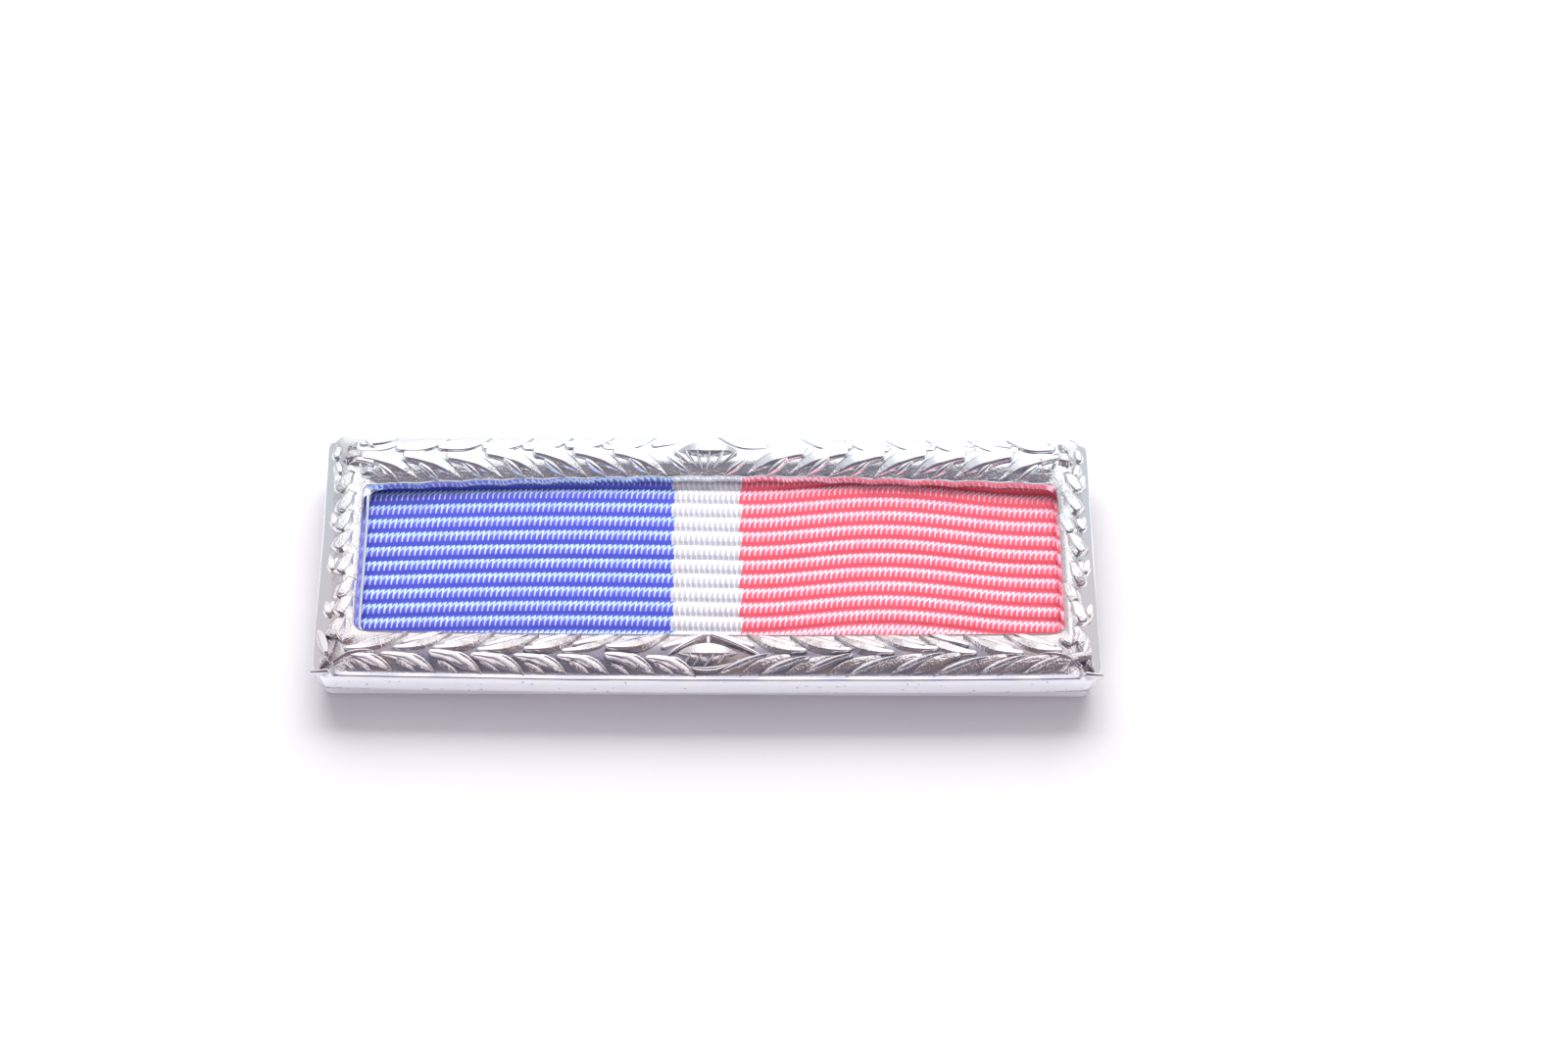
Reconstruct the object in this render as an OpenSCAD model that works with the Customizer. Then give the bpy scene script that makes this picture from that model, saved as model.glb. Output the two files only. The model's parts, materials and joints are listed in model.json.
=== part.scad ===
// Ribbon bar: a cast laurel frame round a striped ribbon, on a formed back that slides onto a strip.
// Millimetres. X runs along the bar, Y is up as worn, Z points out of the face.
// The bar lies on its back, so Z = 0 is the surface under it and X = Y = 0 is its middle.

/* [Frame] */
// Length of the frame over its short rails
bar_l = 36.5; // [33:0.5:44]
// Height of the frame over the middle of its long rails
bar_w = 14.3; // [13.3:0.1:17]
// How far the long rails bow out at their middle
bar_bow = 0.2; // [0:0.05:0.5]
// Height of the skirt, from its lower edge to the bed that the leaves lie on
skirt_h = 1.3; // [1.05:0.05:1.6]
// How far the skirt leans in at its lower edge
skirt_draft = 0.25; // [0:0.05:0.35]
// Radius of the two upper corners
top_corner_r = 0.8; // [0.3:0.1:1.2]
// Radius of the two lower corners
low_corner_r = 0.25; // [0.15:0.05:0.6]
// Thickness of the skirt beside the ends of the ribbon
end_wall = 0.57; // [0.4:0.01:0.7]
// Thickness of the skirt beside the folds of the ribbon
fold_wall = 1.37; // [1.1:0.01:1.5]
// Width of the small bevel along the outer edge of the long rails
edge_bevel = 0.14; // [0.05:0.01:0.25]
// Width of the plain slope along the outside of the short rails
side_slope = 0.72; // [0.4:0.02:0.9]
// Drop of that slope
side_drop = 0.38; // [0.2:0.02:0.5]

/* [Window] */
// Width of the long rails, from outer edge to window
long_rail_w = 2.55; // [2.2:0.01:2.7]
// Width of the left short rail, from outer edge to window
left_rail_w = 1.75; // [1.65:0.05:2]
// Width of the right short rail, from outer edge to window
right_rail_w = 1.6; // [1.5:0.05:2]
// How far the window narrows downwards at the long rails
long_draft = 0.08; // [0.05:0.01:0.25]
// How far the window narrows downwards at the left rail
left_draft = 0.4; // [0.1:0.05:0.45]
// How far the window narrows downwards at the right rail
right_draft = 0.15; // [0.05:0.05:0.3]
// Radius of the window's corners
window_r = 0.5; // [0.2:0.05:0.9]

/* [Leaves] */
// Distance from leaf to leaf along the long rails
leaf_pitch = 1.99; // [1.7:0.05:2.6]
// Distance of the innermost outer leaf's tip from the middle of the rail
first_tip = 0.47; // [0.4:0.01:0.6]
// Length of an outer leaf along the rail
outer_reach = 2.1; // [1.7:0.05:2.5]
// How far an inner leaf's tip lies ahead of the outer leaf beside it
inner_lead = 0.6; // [0:0.05:0.8]
// Width of a corner leaf
leaf_w = 0.84; // [0.6:0.02:1]
// Height of a leaf's rib over its bed
leaf_rise = 0.52; // [0.3:0.02:0.6]
// Height of the small leaves over their bed
sprig_rise = 0.36; // [0.2:0.02:0.5]
// Distance from pair to pair along the short rails
side_pitch = 2.4; // [2:0.05:2.8]
// Length of a leaf on the short rails
side_reach = 2.1; // [1.6:0.05:2.4]

/* [Bud] */
// Length of the bud at the middle of each long rail
bud_l = 3.7; // [3:0.1:4.2]
// Height of the bud across the rail
bud_w = 1.5; // [1.1:0.05:1.7]
// Height of the bud over its bed
bud_rise = 0.55; // [0.3:0.05:0.6]

/* [Ribbon] */
// Thickness of the ribbon
ribbon_t = 0.42; // [0.3:0.02:0.5]
// How deep the ribbon's edges lie under the bed of the leaves
ribbon_depth = 0.5; // [0.4:0.02:0.56]
// Width of the white stripe
white_w = 3.3; // [1:0.1:10]
// How much the ribbon stands up at the middle of the bar
ribbon_crown = 0.2; // [0:0.02:0.26]
// How much the ribbon turns down towards its folds
ribbon_roll = 0.14; // [0:0.02:0.2]

/* [Back] */
// Height of the back from the surface it lies on to the skirt's seat
back_h = 0.9; // [0.8:0.02:1.1]
// Thickness of the back's sheet
sheet_t = 0.22; // [0.15:0.01:0.26]
// How far the back stands in from the lower edge of the skirt
back_step = 0.08; // [0.02:0.02:0.2]
// Width of the lips that hold the strip
lip_w = 2.3; // [1.5:0.1:4]
// Radius of the back's corners
back_corner_r = 0.8; // [0.4:0.1:1.5]
// Outer radius of the back's folds
fold_r = 0.34; // [0.28:0.01:0.42]

/* [Fits] */
// Gap between one piece and the next
gap = 0.03; // [0.02:0.01:0.05]
// Room round the ribbon's edges in the frame
pocket_room = 0.08; // [0.04:0.01:0.1]

/* [Hidden] */

half_l = bar_l / 2;
half_w = bar_w / 2;
frame_z = back_h + gap;
bed_z = frame_z + skirt_h;
leaf_root = 0.3;        // how deep the leaves are rooted in the frame's body
leaf_edge = 0.02;       // how far the tips of the leaves stay inside a bevel or slope
window_cut = 0.06;      // how far the leaves at the window are drawn past its edge, which trims them
tip_gap = 0.1;          // how near to the middle of a rail the tip of a leaf comes
corner_tip = 0.2;       // how far the tip of a corner leaf stays inside the corner
low_spur = 0.05;        // how far the tip of a low corner leaf stands out of the short rail
corner_room = 0.2;      // room between the last leaf of a row and the slope of the short rail
shortest_leaf = 0.8;    // shortest leaf at the end of a row
valley_rise = 0.02;     // height of the valleys between leaves over the bed
rim_share = 0.82;       // where the rim of a leaf lies, as a share of its half width
lip_rise = 0.12;        // how high the window's edge lies over the bed of the leaves
slab_t = 0.02;          // thickness of the sections that a hull is drawn through
arc_steps = 5;
bow_steps = 12;
crown_steps = 14;
long_mid = long_rail_w / 2;
ribbon_l = bar_l - 2 * (skirt_draft + end_wall + pocket_room);
ribbon_w = bar_w - 2 * (bar_bow + skirt_draft + fold_wall + pocket_room);
ribbon_z = bed_z - ribbon_depth;

METAL = [0.80, 0.81, 0.84];
DULL_METAL = [0.52, 0.51, 0.53];
BLUE = [0.10, 0.14, 0.78];
WHITE = [0.93, 0.93, 0.95];
RED = [0.86, 0.10, 0.16];

// Sections of a leaf from base to tip. Shares of its reach and spread, of the pitch, of its rise, of the
// pitch and of the small leaf's rise:
// [along, across, half width, rib, rim, small leaf's half width, its rib]
LEAF = [
    [0.00, 0.00, 0.16, 0.28, 0.12, 0.02, 0.05],
    [0.38, 0.27, 0.36, 1.00, 0.42, 0.10, 0.85],
    [0.76, 0.70, 0.28, 0.84, 0.40, 0.12, 0.85],
    [1.00, 1.00, 0.03, 0.34, 0.24, 0.02, 0.20]
];

// Lines along a row of leaf pairs, from the outer tips over the bases to the inner tips: [side, section]
LINES = [[1, 3], [1, 2], [1, 1], [0, 0], [-1, 1], [-1, 2], [-1, 3]];

// Bud sections from end to middle: [share of half length, share of width, share of rise]
BUD = [
    [1.00, 0.06, 0.20],
    [0.60, 0.60, 0.74],
    [0.00, 1.00, 1.00]
];

// Ends of a stroke of the bud, as shares of its length and of its width: [along, across, radius]
STROKE = [
    [0.05, 0.14, 0.20],
    [0.16, -0.22, 0.16]
];
stroke_tip = 0.05;      // radius of a stroke's crest, as a share of the bud's width

// The bud's lower lip, as shares of its length, width and rise
lip_reach = 0.26;       // half its length
lip_place = 0.46;       // how far it lies from the rail's middle
lip_curl = 0.16;        // how far its ends turn back to the middle
lip_top = 0.5;          // its height
lip_fall = 0.4;         // how far its ends come down
// Section of the lip, as shares of the bud's width: [across, whether it is at the top]
LIP = [[-0.10, 0], [-0.05, 1], [0.10, 1], [0.20, 0]];

function mix(a, b, t) = a + (b - a) * t;

function edge_y(x) = half_w - bar_bow * pow(x / half_l, 2);

function arc(cx, cy, r, from, to) =
    [for (i = [0:arc_steps]) let (a = mix(from, to, i / arc_steps)) [cx + r * cos(a), cy + r * sin(a)]];

function bowed_run(from, to, inset, side) =
    [for (i = [1:bow_steps - 1]) let (x = mix(from, to, i / bow_steps)) [x, side * (edge_y(x) - inset)]];

// The frame's plan, with its long sides bowed: moved in by in_x and in_y, with its own corner radii
function plan(in_x, in_y, r_low, r_top) =
    let (x = half_l - in_x, low = edge_y(x) - in_y - r_low, top = edge_y(x) - in_y - r_top)
    concat(
        arc(x - r_low, -low, r_low, -90, 0),
        arc(x - r_top, top, r_top, 0, 90),
        bowed_run(x - r_top, r_top - x, in_y, 1),
        arc(r_top - x, top, r_top, 90, 180),
        arc(r_low - x, -low, r_low, 180, 270),
        bowed_run(r_low - x, x - r_low, in_y, -1)
    );

// The window's plan between x = left and x = right, bowed as the long rails are
function window_plan(left, right, in_y, r) =
    let (low = edge_y(half_l) - in_y - r)
    concat(
        arc(right - r, -low, r, -90, 0),
        arc(right - r, low, r, 0, 90),
        bowed_run(right - r, left + r, in_y, 1),
        arc(left + r, low, r, 90, 180),
        arc(left + r, -low, r, 180, 270),
        bowed_run(left + r, right - r, in_y, -1)
    );

module slab(points, z) {
    translate([0, 0, z]) linear_extrude(height = slab_t) polygon(points);
}

// A closed skin over rings of equally many points, the first and the last ring capped. Seen from the last
// ring, the points of each ring run clockwise.
module skin(rings) {
    n = len(rings[0]);
    m = len(rings);
    points = [for (ring = rings) each ring];
    first = [for (j = [n - 1:-1:0]) j];
    last = [for (j = [0:n - 1]) (m - 1) * n + j];
    sides = [
        for (i = [0:m - 2]) for (j = [0:n - 1])
        let (k = (j + 1) % n, a = i * n, b = (i + 1) * n)
        each [[a + j, b + k, b + j], [a + j, a + k, b + k]]
    ];
    polyhedron(points = points, faces = concat([first, last], sides), convexity = 4);
}

// A row of leaf pairs in its own plan: u runs along the row from the tips to the bases, v across it from the
// bases outwards. size is [first tip, lead of the inner tips, pitch, reach, end of the row].
function last_pair(size) = floor((size[4] - shortest_leaf - size[0]) / size[2]);

function leaf_u(k, line, size) =
    let (
        tip = size[0] + k * size[2],
        base = min(tip + size[3], size[4]),
        end = max(tip_gap, tip - (line[0] < 0 ? size[1] : 0))
    )
    mix(base, end, LEAF[line[1]][0]);

// Eight columns of points for each pair, and five for the last one, with a point on each line
function row_columns(size, spread_out, spread_in) =
    let (last = last_pair(size), pitch = size[2])
    [
        for (k = [0:last]) for (c = [0:k < last ? 7 : 4])
        [
            for (line = LINES)
            let (
                row = LEAF[line[1]],
                u = leaf_u(k, line, size),
                before = k > 0 ? u - leaf_u(k - 1, line, size) : pitch,
                after = k < last ? leaf_u(k + 1, line, size) - u : pitch,
                half = row[2],
                rim = rim_share * half,
                shift = [
                    -half * before, -rim * before, 0, rim * after, half * after,
                    (0.5 - row[5]) * after, 0.5 * after, (0.5 + row[5]) * after
                ],
                rise = [
                    valley_rise, row[4] * leaf_rise, row[3] * leaf_rise, row[4] * leaf_rise, valley_rise,
                    valley_rise, valley_rise + row[6] * sprig_rise, valley_rise
                ]
            )
            [u + shift[c], row[1] * (line[0] > 0 ? spread_out : -spread_in), bed_z + rise[c]]
        ]
    ];

// A closed solid between a grid of points and a flat floor under it
module relief(grid) {
    n = len(grid[0]);
    m = len(grid);
    top = [for (column = grid) each column];
    floor = [for (p = top) [p.x, p.y, bed_z - leaf_root]];
    all = m * n;
    function quad(a, b, c, d) = [[a, b, c], [a, c, d]];
    faces = [
        for (i = [0:m - 2]) for (j = [0:n - 2])
            let (a = i * n + j, b = a + n)
            each concat(quad(a, b, b + 1, a + 1), quad(all + a, all + a + 1, all + b + 1, all + b)),
        for (i = [0:m - 2])
            let (a = i * n, b = a + n, e = n - 1)
            each concat(quad(a, all + a, all + b, b), quad(a + e, b + e, all + b + e, all + a + e)),
        for (j = [0:n - 2])
            let (e = (m - 1) * n)
            each concat(quad(j, j + 1, all + j + 1, all + j), quad(e + j, all + e + j, all + e + j + 1, e + j + 1))
    ];
    polyhedron(points = concat(top, floor), faces = faces, convexity = 6);
}

function mid_y(x) = edge_y(x) - long_mid;

// The leaf pairs on a quarter of the frame, from the middle of a long rail to the corner
module long_row() {
    size = [first_tip, inner_lead, leaf_pitch, outer_reach, half_l - side_slope - corner_room];
    columns = row_columns(size, long_mid - edge_bevel - leaf_edge, long_mid + window_cut);
    relief([for (c = columns) [for (p = c) [p.x, mid_y(p.x) + p.y, p.z]]]);
}

// The leaf pairs up a short rail that stands at +X and is rail_w wide
module short_row(rail_w) {
    mid_x = half_l - (side_slope + rail_w) / 2;
    spread = (rail_w - side_slope) / 2;
    lowest = long_mid + corner_room - edge_y(half_l);
    top = edge_y(half_l) - long_rail_w;
    columns = row_columns([0, 0, side_pitch, side_reach, top - lowest], spread - leaf_edge, spread + window_cut);
    relief([for (c = columns) [for (p = c) [mid_x + p.y, top - p.x, p.z]]]);
}

// The leaf that fills a corner, from the crossing of two rails out to the corner itself
module corner_leaf(side) {
    base = [half_l - side_slope - long_mid / 2, side * mid_y(half_l)];
    tip = [half_l + (side < 0 ? low_spur : -corner_tip), side * (edge_y(half_l) - corner_tip)];
    hull() {
        cone_at(base, leaf_w / 2, leaf_w / 5, leaf_rise);
        cone_at(mix(base, tip, 0.4), leaf_w * 0.8, leaf_w / 6, leaf_rise);
        cone_at(tip, leaf_w / 6, leaf_w / 8, 0);
    }
}

// A six-sided cone rooted in the bed
module cone_at(place, width, tip_width, h) {
    translate([place.x, place.y, bed_z - leaf_root])
        cylinder(h = leaf_root + h, d1 = width, d2 = tip_width, $fn = 6);
}

// The closed bud at the middle of a long rail, with its three strokes and its lip
module bud(side) {
    function bud_ring(row, end) = [
        for (a = [180:-36:0])
        [
            end * row[0] * bud_l / 2,
            side * mid_y(0) + row[1] * bud_w / 2 * cos(a),
            bed_z + row[2] * bud_rise * sin(a)
        ]
    ];
    function rooted(ring) = concat(
        [[ring[0].x, ring[0].y, bed_z - leaf_root]],
        ring,
        [[ring[len(ring) - 1].x, ring[len(ring) - 1].y, bed_z - leaf_root]]
    );
    n = len(BUD);
    skin([
        for (i = [0:2 * n - 2])
        rooted(i < n ? bud_ring(BUD[i], -1) : bud_ring(BUD[2 * n - 2 - i], 1))
    ]);
    for (turn = [-1, 0, 1])
        hull()
            for (row = STROKE)
                cone_at(
                    [turn * bud_l * row[0], side * mid_y(0) + bud_w * row[1]],
                    bud_w * row[2], bud_w * stroke_tip, bud_rise
                );
    skin([
        for (k = [-1:0.5:1])
        let (
            x = k * bud_l * lip_reach,
            y = side * mid_y(0) - bud_w * (lip_place - lip_curl * k * k),
            z = bed_z + bud_rise * (lip_top - lip_fall * k * k)
        )
        [for (row = LIP) [x, y + bud_w * row[0], row[1] == 1 ? z : bed_z - leaf_root]]
    ]);
}

// The pillow shape that ribbon, pocket and the back's bed share: l by w in plan, standing on floor_z, with
// its top moved by lift
module pillow(l, w, floor_z, lift) {
    top = ribbon_z + ribbon_crown + lift;
    intersection() {
        rotate([90, 0, 0])
            linear_extrude(height = w, center = true)
                polygon(concat(
                    [[-l / 2, floor_z], [l / 2, floor_z]],
                    [
                        for (i = [0:crown_steps])
                        let (x = mix(l / 2, -l / 2, i / crown_steps))
                        [x, top - ribbon_crown * pow(2 * x / ribbon_l, 2)]
                    ]
                ));
        rotate([90, 0, 90])
            linear_extrude(height = l, center = true)
                polygon(concat(
                    [[-w / 2, floor_z], [w / 2, floor_z]],
                    [
                        for (i = [0:crown_steps])
                        let (y = mix(w / 2, -w / 2, i / crown_steps))
                        [y, top - ribbon_roll * pow(2 * y / ribbon_w, 4)]
                    ]
                ));
    }
}

module frame_body() {
    hull() {
        slab(plan(skirt_draft, skirt_draft, low_corner_r, top_corner_r), frame_z);
        slab(plan(0, 0, low_corner_r, top_corner_r), bed_z - side_drop);
        slab(plan(side_slope / 4, 0, low_corner_r, top_corner_r), bed_z - edge_bevel - slab_t);
        slab(plan(side_slope, edge_bevel, low_corner_r, top_corner_r), bed_z - slab_t);
    }
}

module window() {
    left = left_rail_w - half_l;
    right = half_l - right_rail_w;
    hull() {
        slab(window_plan(left + left_draft, right - right_draft, long_rail_w + long_draft, window_r), ribbon_z);
        slab(window_plan(left, right, long_rail_w, window_r), bed_z + lip_rise);
        slab(window_plan(left, right, long_rail_w, window_r), bed_z + 2 * leaf_rise);
    }
}

module laurel_frame() {
    color(METAL)
        difference() {
            union() {
                frame_body();
                for (flip = [0, 1])
                    mirror([flip, 0, 0]) {
                        short_row(flip == 1 ? left_rail_w : right_rail_w);
                        for (side = [0, 1]) mirror([0, side, 0]) long_row();
                        corner_leaf(-1);
                        corner_leaf(1);
                    }
                bud(-1);
                bud(1);
            }
            window();
            pillow(ribbon_l + 2 * pocket_room, ribbon_w + 2 * pocket_room, frame_z - 1, gap);
        }
}

module ribbon_body() {
    difference() {
        pillow(ribbon_l, ribbon_w, frame_z, 0);
        pillow(ribbon_l + 2, ribbon_w - 2 * ribbon_t, frame_z - 1, -ribbon_t);
    }
}

// The part of the ribbon between two places along the bar
module stripe(from, to) {
    intersection() {
        ribbon_body();
        translate([from, -bar_w / 2, 0]) cube([to - from, bar_w, bed_z]);
    }
}

module ribbon() {
    color(BLUE) stripe(-half_l, -white_w / 2);
    color(WHITE) stripe(-white_w / 2, white_w / 2);
    color(RED) stripe(white_w / 2, half_l);
}

function rounded(l, w, r_low, r_top) = concat(
    arc(l / 2 - r_low, r_low - w / 2, r_low, -90, 0),
    arc(l / 2 - r_top, w / 2 - r_top, r_top, 0, 90),
    arc(r_top - l / 2, w / 2 - r_top, r_top, 90, 180),
    arc(r_low - l / 2, r_low - w / 2, r_low, 180, 270)
);

// The back: a channel folded from sheet, pressed up into a bed under the ribbon
module slide_back() {
    l = bar_l - 2 * (skirt_draft + back_step);
    w = bar_w - 2 * (bar_bow + skirt_draft + back_step);
    bend = fold_r - sheet_t;
    under = ribbon_t + gap;
    color(DULL_METAL)
        difference() {
            union() {
                intersection() {
                    rotate([90, 0, 90])
                        linear_extrude(height = l, center = true)
                            translate([0, back_h / 2])
                                difference() {
                                    polygon(rounded(w, back_h, fold_r, fold_r));
                                    polygon(rounded(w - 2 * sheet_t, back_h - 2 * sheet_t, bend, bend));
                                    translate([0, -back_h / 2])
                                        square([w - 2 * lip_w, 3 * sheet_t], center = true);
                                }
                    linear_extrude(height = back_h) polygon(rounded(l, w, back_corner_r, back_corner_r));
                }
                pillow(ribbon_l - 2 * gap, ribbon_w - 2 * under, back_h - sheet_t, -under);
            }
            pillow(
                ribbon_l - 2 * (gap + sheet_t),
                ribbon_w - 2 * (under + sheet_t),
                back_h - 2 * sheet_t,
                -under - sheet_t
            );
        }
}

laurel_frame();
ribbon();
slide_back();
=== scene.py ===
"""A ribbon bar in a cast laurel frame: the visual model and its stage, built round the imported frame."""

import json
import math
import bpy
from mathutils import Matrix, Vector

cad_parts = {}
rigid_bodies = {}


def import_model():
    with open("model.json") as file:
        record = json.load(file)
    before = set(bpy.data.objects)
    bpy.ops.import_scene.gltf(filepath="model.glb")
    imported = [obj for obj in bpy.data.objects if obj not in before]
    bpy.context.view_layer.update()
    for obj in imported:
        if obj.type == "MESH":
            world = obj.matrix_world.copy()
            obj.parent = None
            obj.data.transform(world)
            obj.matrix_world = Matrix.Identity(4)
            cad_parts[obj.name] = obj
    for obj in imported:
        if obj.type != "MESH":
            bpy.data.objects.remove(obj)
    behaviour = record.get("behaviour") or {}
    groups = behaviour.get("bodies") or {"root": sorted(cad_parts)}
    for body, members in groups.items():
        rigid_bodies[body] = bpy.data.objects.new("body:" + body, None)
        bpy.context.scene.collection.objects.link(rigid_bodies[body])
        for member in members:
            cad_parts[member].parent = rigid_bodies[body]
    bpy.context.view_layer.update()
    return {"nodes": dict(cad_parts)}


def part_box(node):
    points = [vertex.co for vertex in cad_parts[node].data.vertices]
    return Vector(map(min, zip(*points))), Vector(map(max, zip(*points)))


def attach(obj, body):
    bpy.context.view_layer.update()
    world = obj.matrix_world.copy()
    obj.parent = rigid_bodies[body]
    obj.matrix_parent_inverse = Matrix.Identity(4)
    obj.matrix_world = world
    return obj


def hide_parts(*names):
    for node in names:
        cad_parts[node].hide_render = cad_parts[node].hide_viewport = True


bl_info = {
    "name": "Framed Ribbon Bar",
    "version": (1, 0, 0),
    "blender": (4, 5, 0),
    "location": "View3D > Sidebar > Ribbon Bar",
    "description": "Builds a striped ribbon bar in a cast laurel frame, with its stage",
    "category": "Add Mesh",
}

import bmesh
import bpy
import numpy as np
from bpy.props import FloatProperty, FloatVectorProperty, IntProperty, PointerProperty
from mathutils import Vector

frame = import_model()
FRAME_LOW, FRAME_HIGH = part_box("laurel_frame")
RIBBON_LOW, RIBBON_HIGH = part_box("ribbon")
MM = 0.001


def length(name, value, description):
    """A size property, in metres."""
    return FloatProperty(name=name, description=description, default=value, unit="LENGTH", precision=5)


def share(name, value, description):
    """A plain number property."""
    return FloatProperty(name=name, description=description, default=value)


def angle(name, value, description):
    """An angle property, in radians."""
    return FloatProperty(name=name, description=description, default=value, subtype="ANGLE")


def tint(name, value, description):
    """A colour property."""
    return FloatVectorProperty(name=name, description=description, default=value, subtype="COLOR", size=3)


class CastingSizes(bpy.types.PropertyGroup):
    """Sizes of the cast frame under its leaves."""

    spur: length("Spur", 0.12 * MM, "How far the low corners stand out of the short rails")
    bow: length("Bow", 0.2 * MM, "How far the long rails bow out at their middle")
    skirt_over: length("Skirt Overlap", 0.14 * MM, "How far the skirt hangs down over the back's sides")
    skirt_lean: length("Skirt Lean", 0.25 * MM, "How far the skirt leans in at its lower edge")
    bed_z: length("Bed Height", FRAME_LOW.z + 1.3 * MM, "Height of the outer lip that the leaves end at")
    crown: length("Bed Crown", 0.33 * MM, "How far the bed rises under the leaves' knuckles")
    side_crown: length("Side Crown", 0.155 * MM, "How far it rises along the short rails")
    side_run: length("Side Run", 0.58 * MM, "Distance over which it rises there, past the slope")
    groove: length("Groove", 0.04 * MM, "How deep the bed dips beside its two lips")
    lip_rise: length("Lip Rise", 0.06 * MM, "How high the window's edge lies over the outer lip")
    slope_drop: length("Slope Drop", 0.38 * MM, "Drop of the plain slope outside the short rails")
    slope_w: length("Slope Width", 0.72 * MM, "Width of that slope")
    slope_taper: share("Slope Taper", 0.55, "How much wider or narrower it is at the corners")
    corner_cut: length("Corner Cut", 0.42 * MM, "How far the lower corners of the skirt are cut in")
    sag: length("Window Sag", 0.5 * MM, "How far the upper window edge hangs down at the bar's left end")
    bevel: length("Bevel", 0.05 * MM, "Width of the rounding along the long rails")
    flat: length("Flat", 0.2 * MM, "Width of the flat lip outside the leaves")
    long_rail: length("Long Rail", 2.55 * MM, "Width of a long rail")
    left_rail: length("Left Rail", 1.86 * MM, "Width of the left short rail")
    right_rail: length("Right Rail", 1.6 * MM, "Width of the right short rail")
    long_draft: length("Long Draft", 0.06 * MM, "How far the window narrows downwards at the long rails")
    left_draft: length("Left Draft", 0.29 * MM, "How far the window narrows downwards at the left rail")
    right_draft: length("Right Draft", 0.15 * MM, "How far the window narrows downwards at the right rail")
    top_corner: length("Top Corner", 0.7 * MM, "Radius of the upper corners")
    low_corner: length("Low Corner", 0.25 * MM, "Radius of the lower corners")
    window_corner: length("Window Corner", 0.5 * MM, "Radius of the window's corners")
    scallop: length("Scallop", 0.075 * MM, "How far the upper window edge dips under each leaf tip")
    wave: length("Wave", 0.018 * MM, "How far the cast walls stray from a straight line")


class LeafSizes(bpy.types.PropertyGroup):
    """Sizes of the leaves, the buds and the corner sprays."""

    pitch: length("Pitch", 1.99 * MM, "Distance from leaf to leaf along the long rails")
    first_tip: length("First Tip", 0.47 * MM, "Distance of the innermost outer tip from the rail's middle")
    reach: length("Reach", 2.45 * MM, "Length of an outer leaf along the rail")
    lead: length("Lead", 0.6 * MM, "How far an inner tip lies ahead of the outer one beside it")
    rise: length("Rise", 0.17 * MM, "Height of a leaf's knuckle over the bed's crown")
    sprig_reach: length("Sprig Reach", 1.0 * MM, "Length of a small leaf")
    under_reach: length("Under Reach", 1.95 * MM, "Length of a leaf that lies under the others")
    side_pitch: length("Side Pitch", 2.5 * MM, "Distance from pair to pair along the short rails")
    lobe_pitch: length("Lobe Pitch", 1.24 * MM, "Distance from lobe to lobe inside those pairs")
    root: length("Root", 0.25 * MM, "How deep a leaf is rooted in the bed")
    tilt: angle("Tilt", 0.03, "How far the leaves lean at random")
    grain: length("Grain", 0.05 * MM, "Height of the cast grain on the coarse leaves")
    bud_l: length("Bud Length", 2.9 * MM, "Length of a bud along the rail")
    bud_w: length("Bud Width", 1.35 * MM, "Width of a bud across the rail")
    bud_rise: length("Bud Rise", 0.52 * MM, "Height of a bud over the bed")
    seed: IntProperty(name="Seed", description="Seed of the leaves' small differences", default=7)


class RibbonSizes(bpy.types.PropertyGroup):
    """Sizes and colours of the corded ribbon."""

    rib_pitch: length("Rib Pitch", 0.82 * MM, "Distance from rib to rib")
    rib_rise: length("Rib Rise", 0.13 * MM, "Height of a rib over the hollow beside it")
    thread_pitch: length("Thread Pitch", 0.255 * MM, "Distance from thread to thread on a rib")
    thread_rise: length("Thread Rise", 0.05 * MM, "Depth of the groove between two threads")
    thread_lean: share("Thread Lean", 0.35, "How far a thread leans over its rib, in thread widths")
    white_w: length("White Width", 3.3 * MM, "Width of the white stripe")
    thickness: length("Thickness", 0.40 * MM, "Thickness of the cloth")
    fold_r: length("Fold Radius", 0.45 * MM, "Outer radius of the two folds")
    crown: length("Crown", 0.28 * MM, "How much the ribbon stands up at the middle of the bar")
    roll: length("Roll", 0.14 * MM, "How much the ribbon turns down towards its folds")
    hill: length("Hill", 0.52 * MM, "How far the ribs arch up in the red stripe")
    blue: tint("Blue", (0.085, 0.105, 0.64), "Colour of the left stripe")
    white: tint("White", (0.77, 0.775, 0.825), "Colour of the middle stripe")
    red: tint("Red", (0.85, 0.114, 0.158), "Colour of the right stripe")


class StageSettings(bpy.types.PropertyGroup):
    """Where the camera stands and how strong the lights are."""

    elevation: angle("Elevation", math.radians(54.2), "Camera over the horizon")
    roll: angle("Roll", math.radians(0.25), "Roll of the camera")
    distance: length("Distance", 180 * MM, "Distance from the bar to the camera")
    lens: share("Lens", 87.6, "Focal length in millimetres")
    shift_x: share("Shift Right", 0.0489, "Camera shift across the picture")
    shift_y: share("Shift Up", 0.0238, "Camera shift up the picture")
    floor_size: length("Floor Size", 3000 * MM, "Side of the floor")
    key_power: share("Key Power", 2.7, "Power of the soft light behind and above, in watts")
    fill_power: share("Fill Power", 0.75, "Power of the soft light in front, in watts")


def settings():
    """The scene's groups of sizes: the casting's, the leaves', the ribbon's and the stage's."""
    scene = bpy.context.scene
    return scene.casting_sizes, scene.leaf_sizes, scene.ribbon_sizes, scene.stage_settings


# Meshes

# The first layer tells how coarse the surface is; the second holds painted shade, and below nought a painted
# highlight.
LAYERS = ("grit", "crease")


def linked(name, data):
    """An object in the scene that shows this data."""
    obj = bpy.data.objects.new(name, data)
    bpy.context.scene.collection.objects.link(obj)
    return obj


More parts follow.
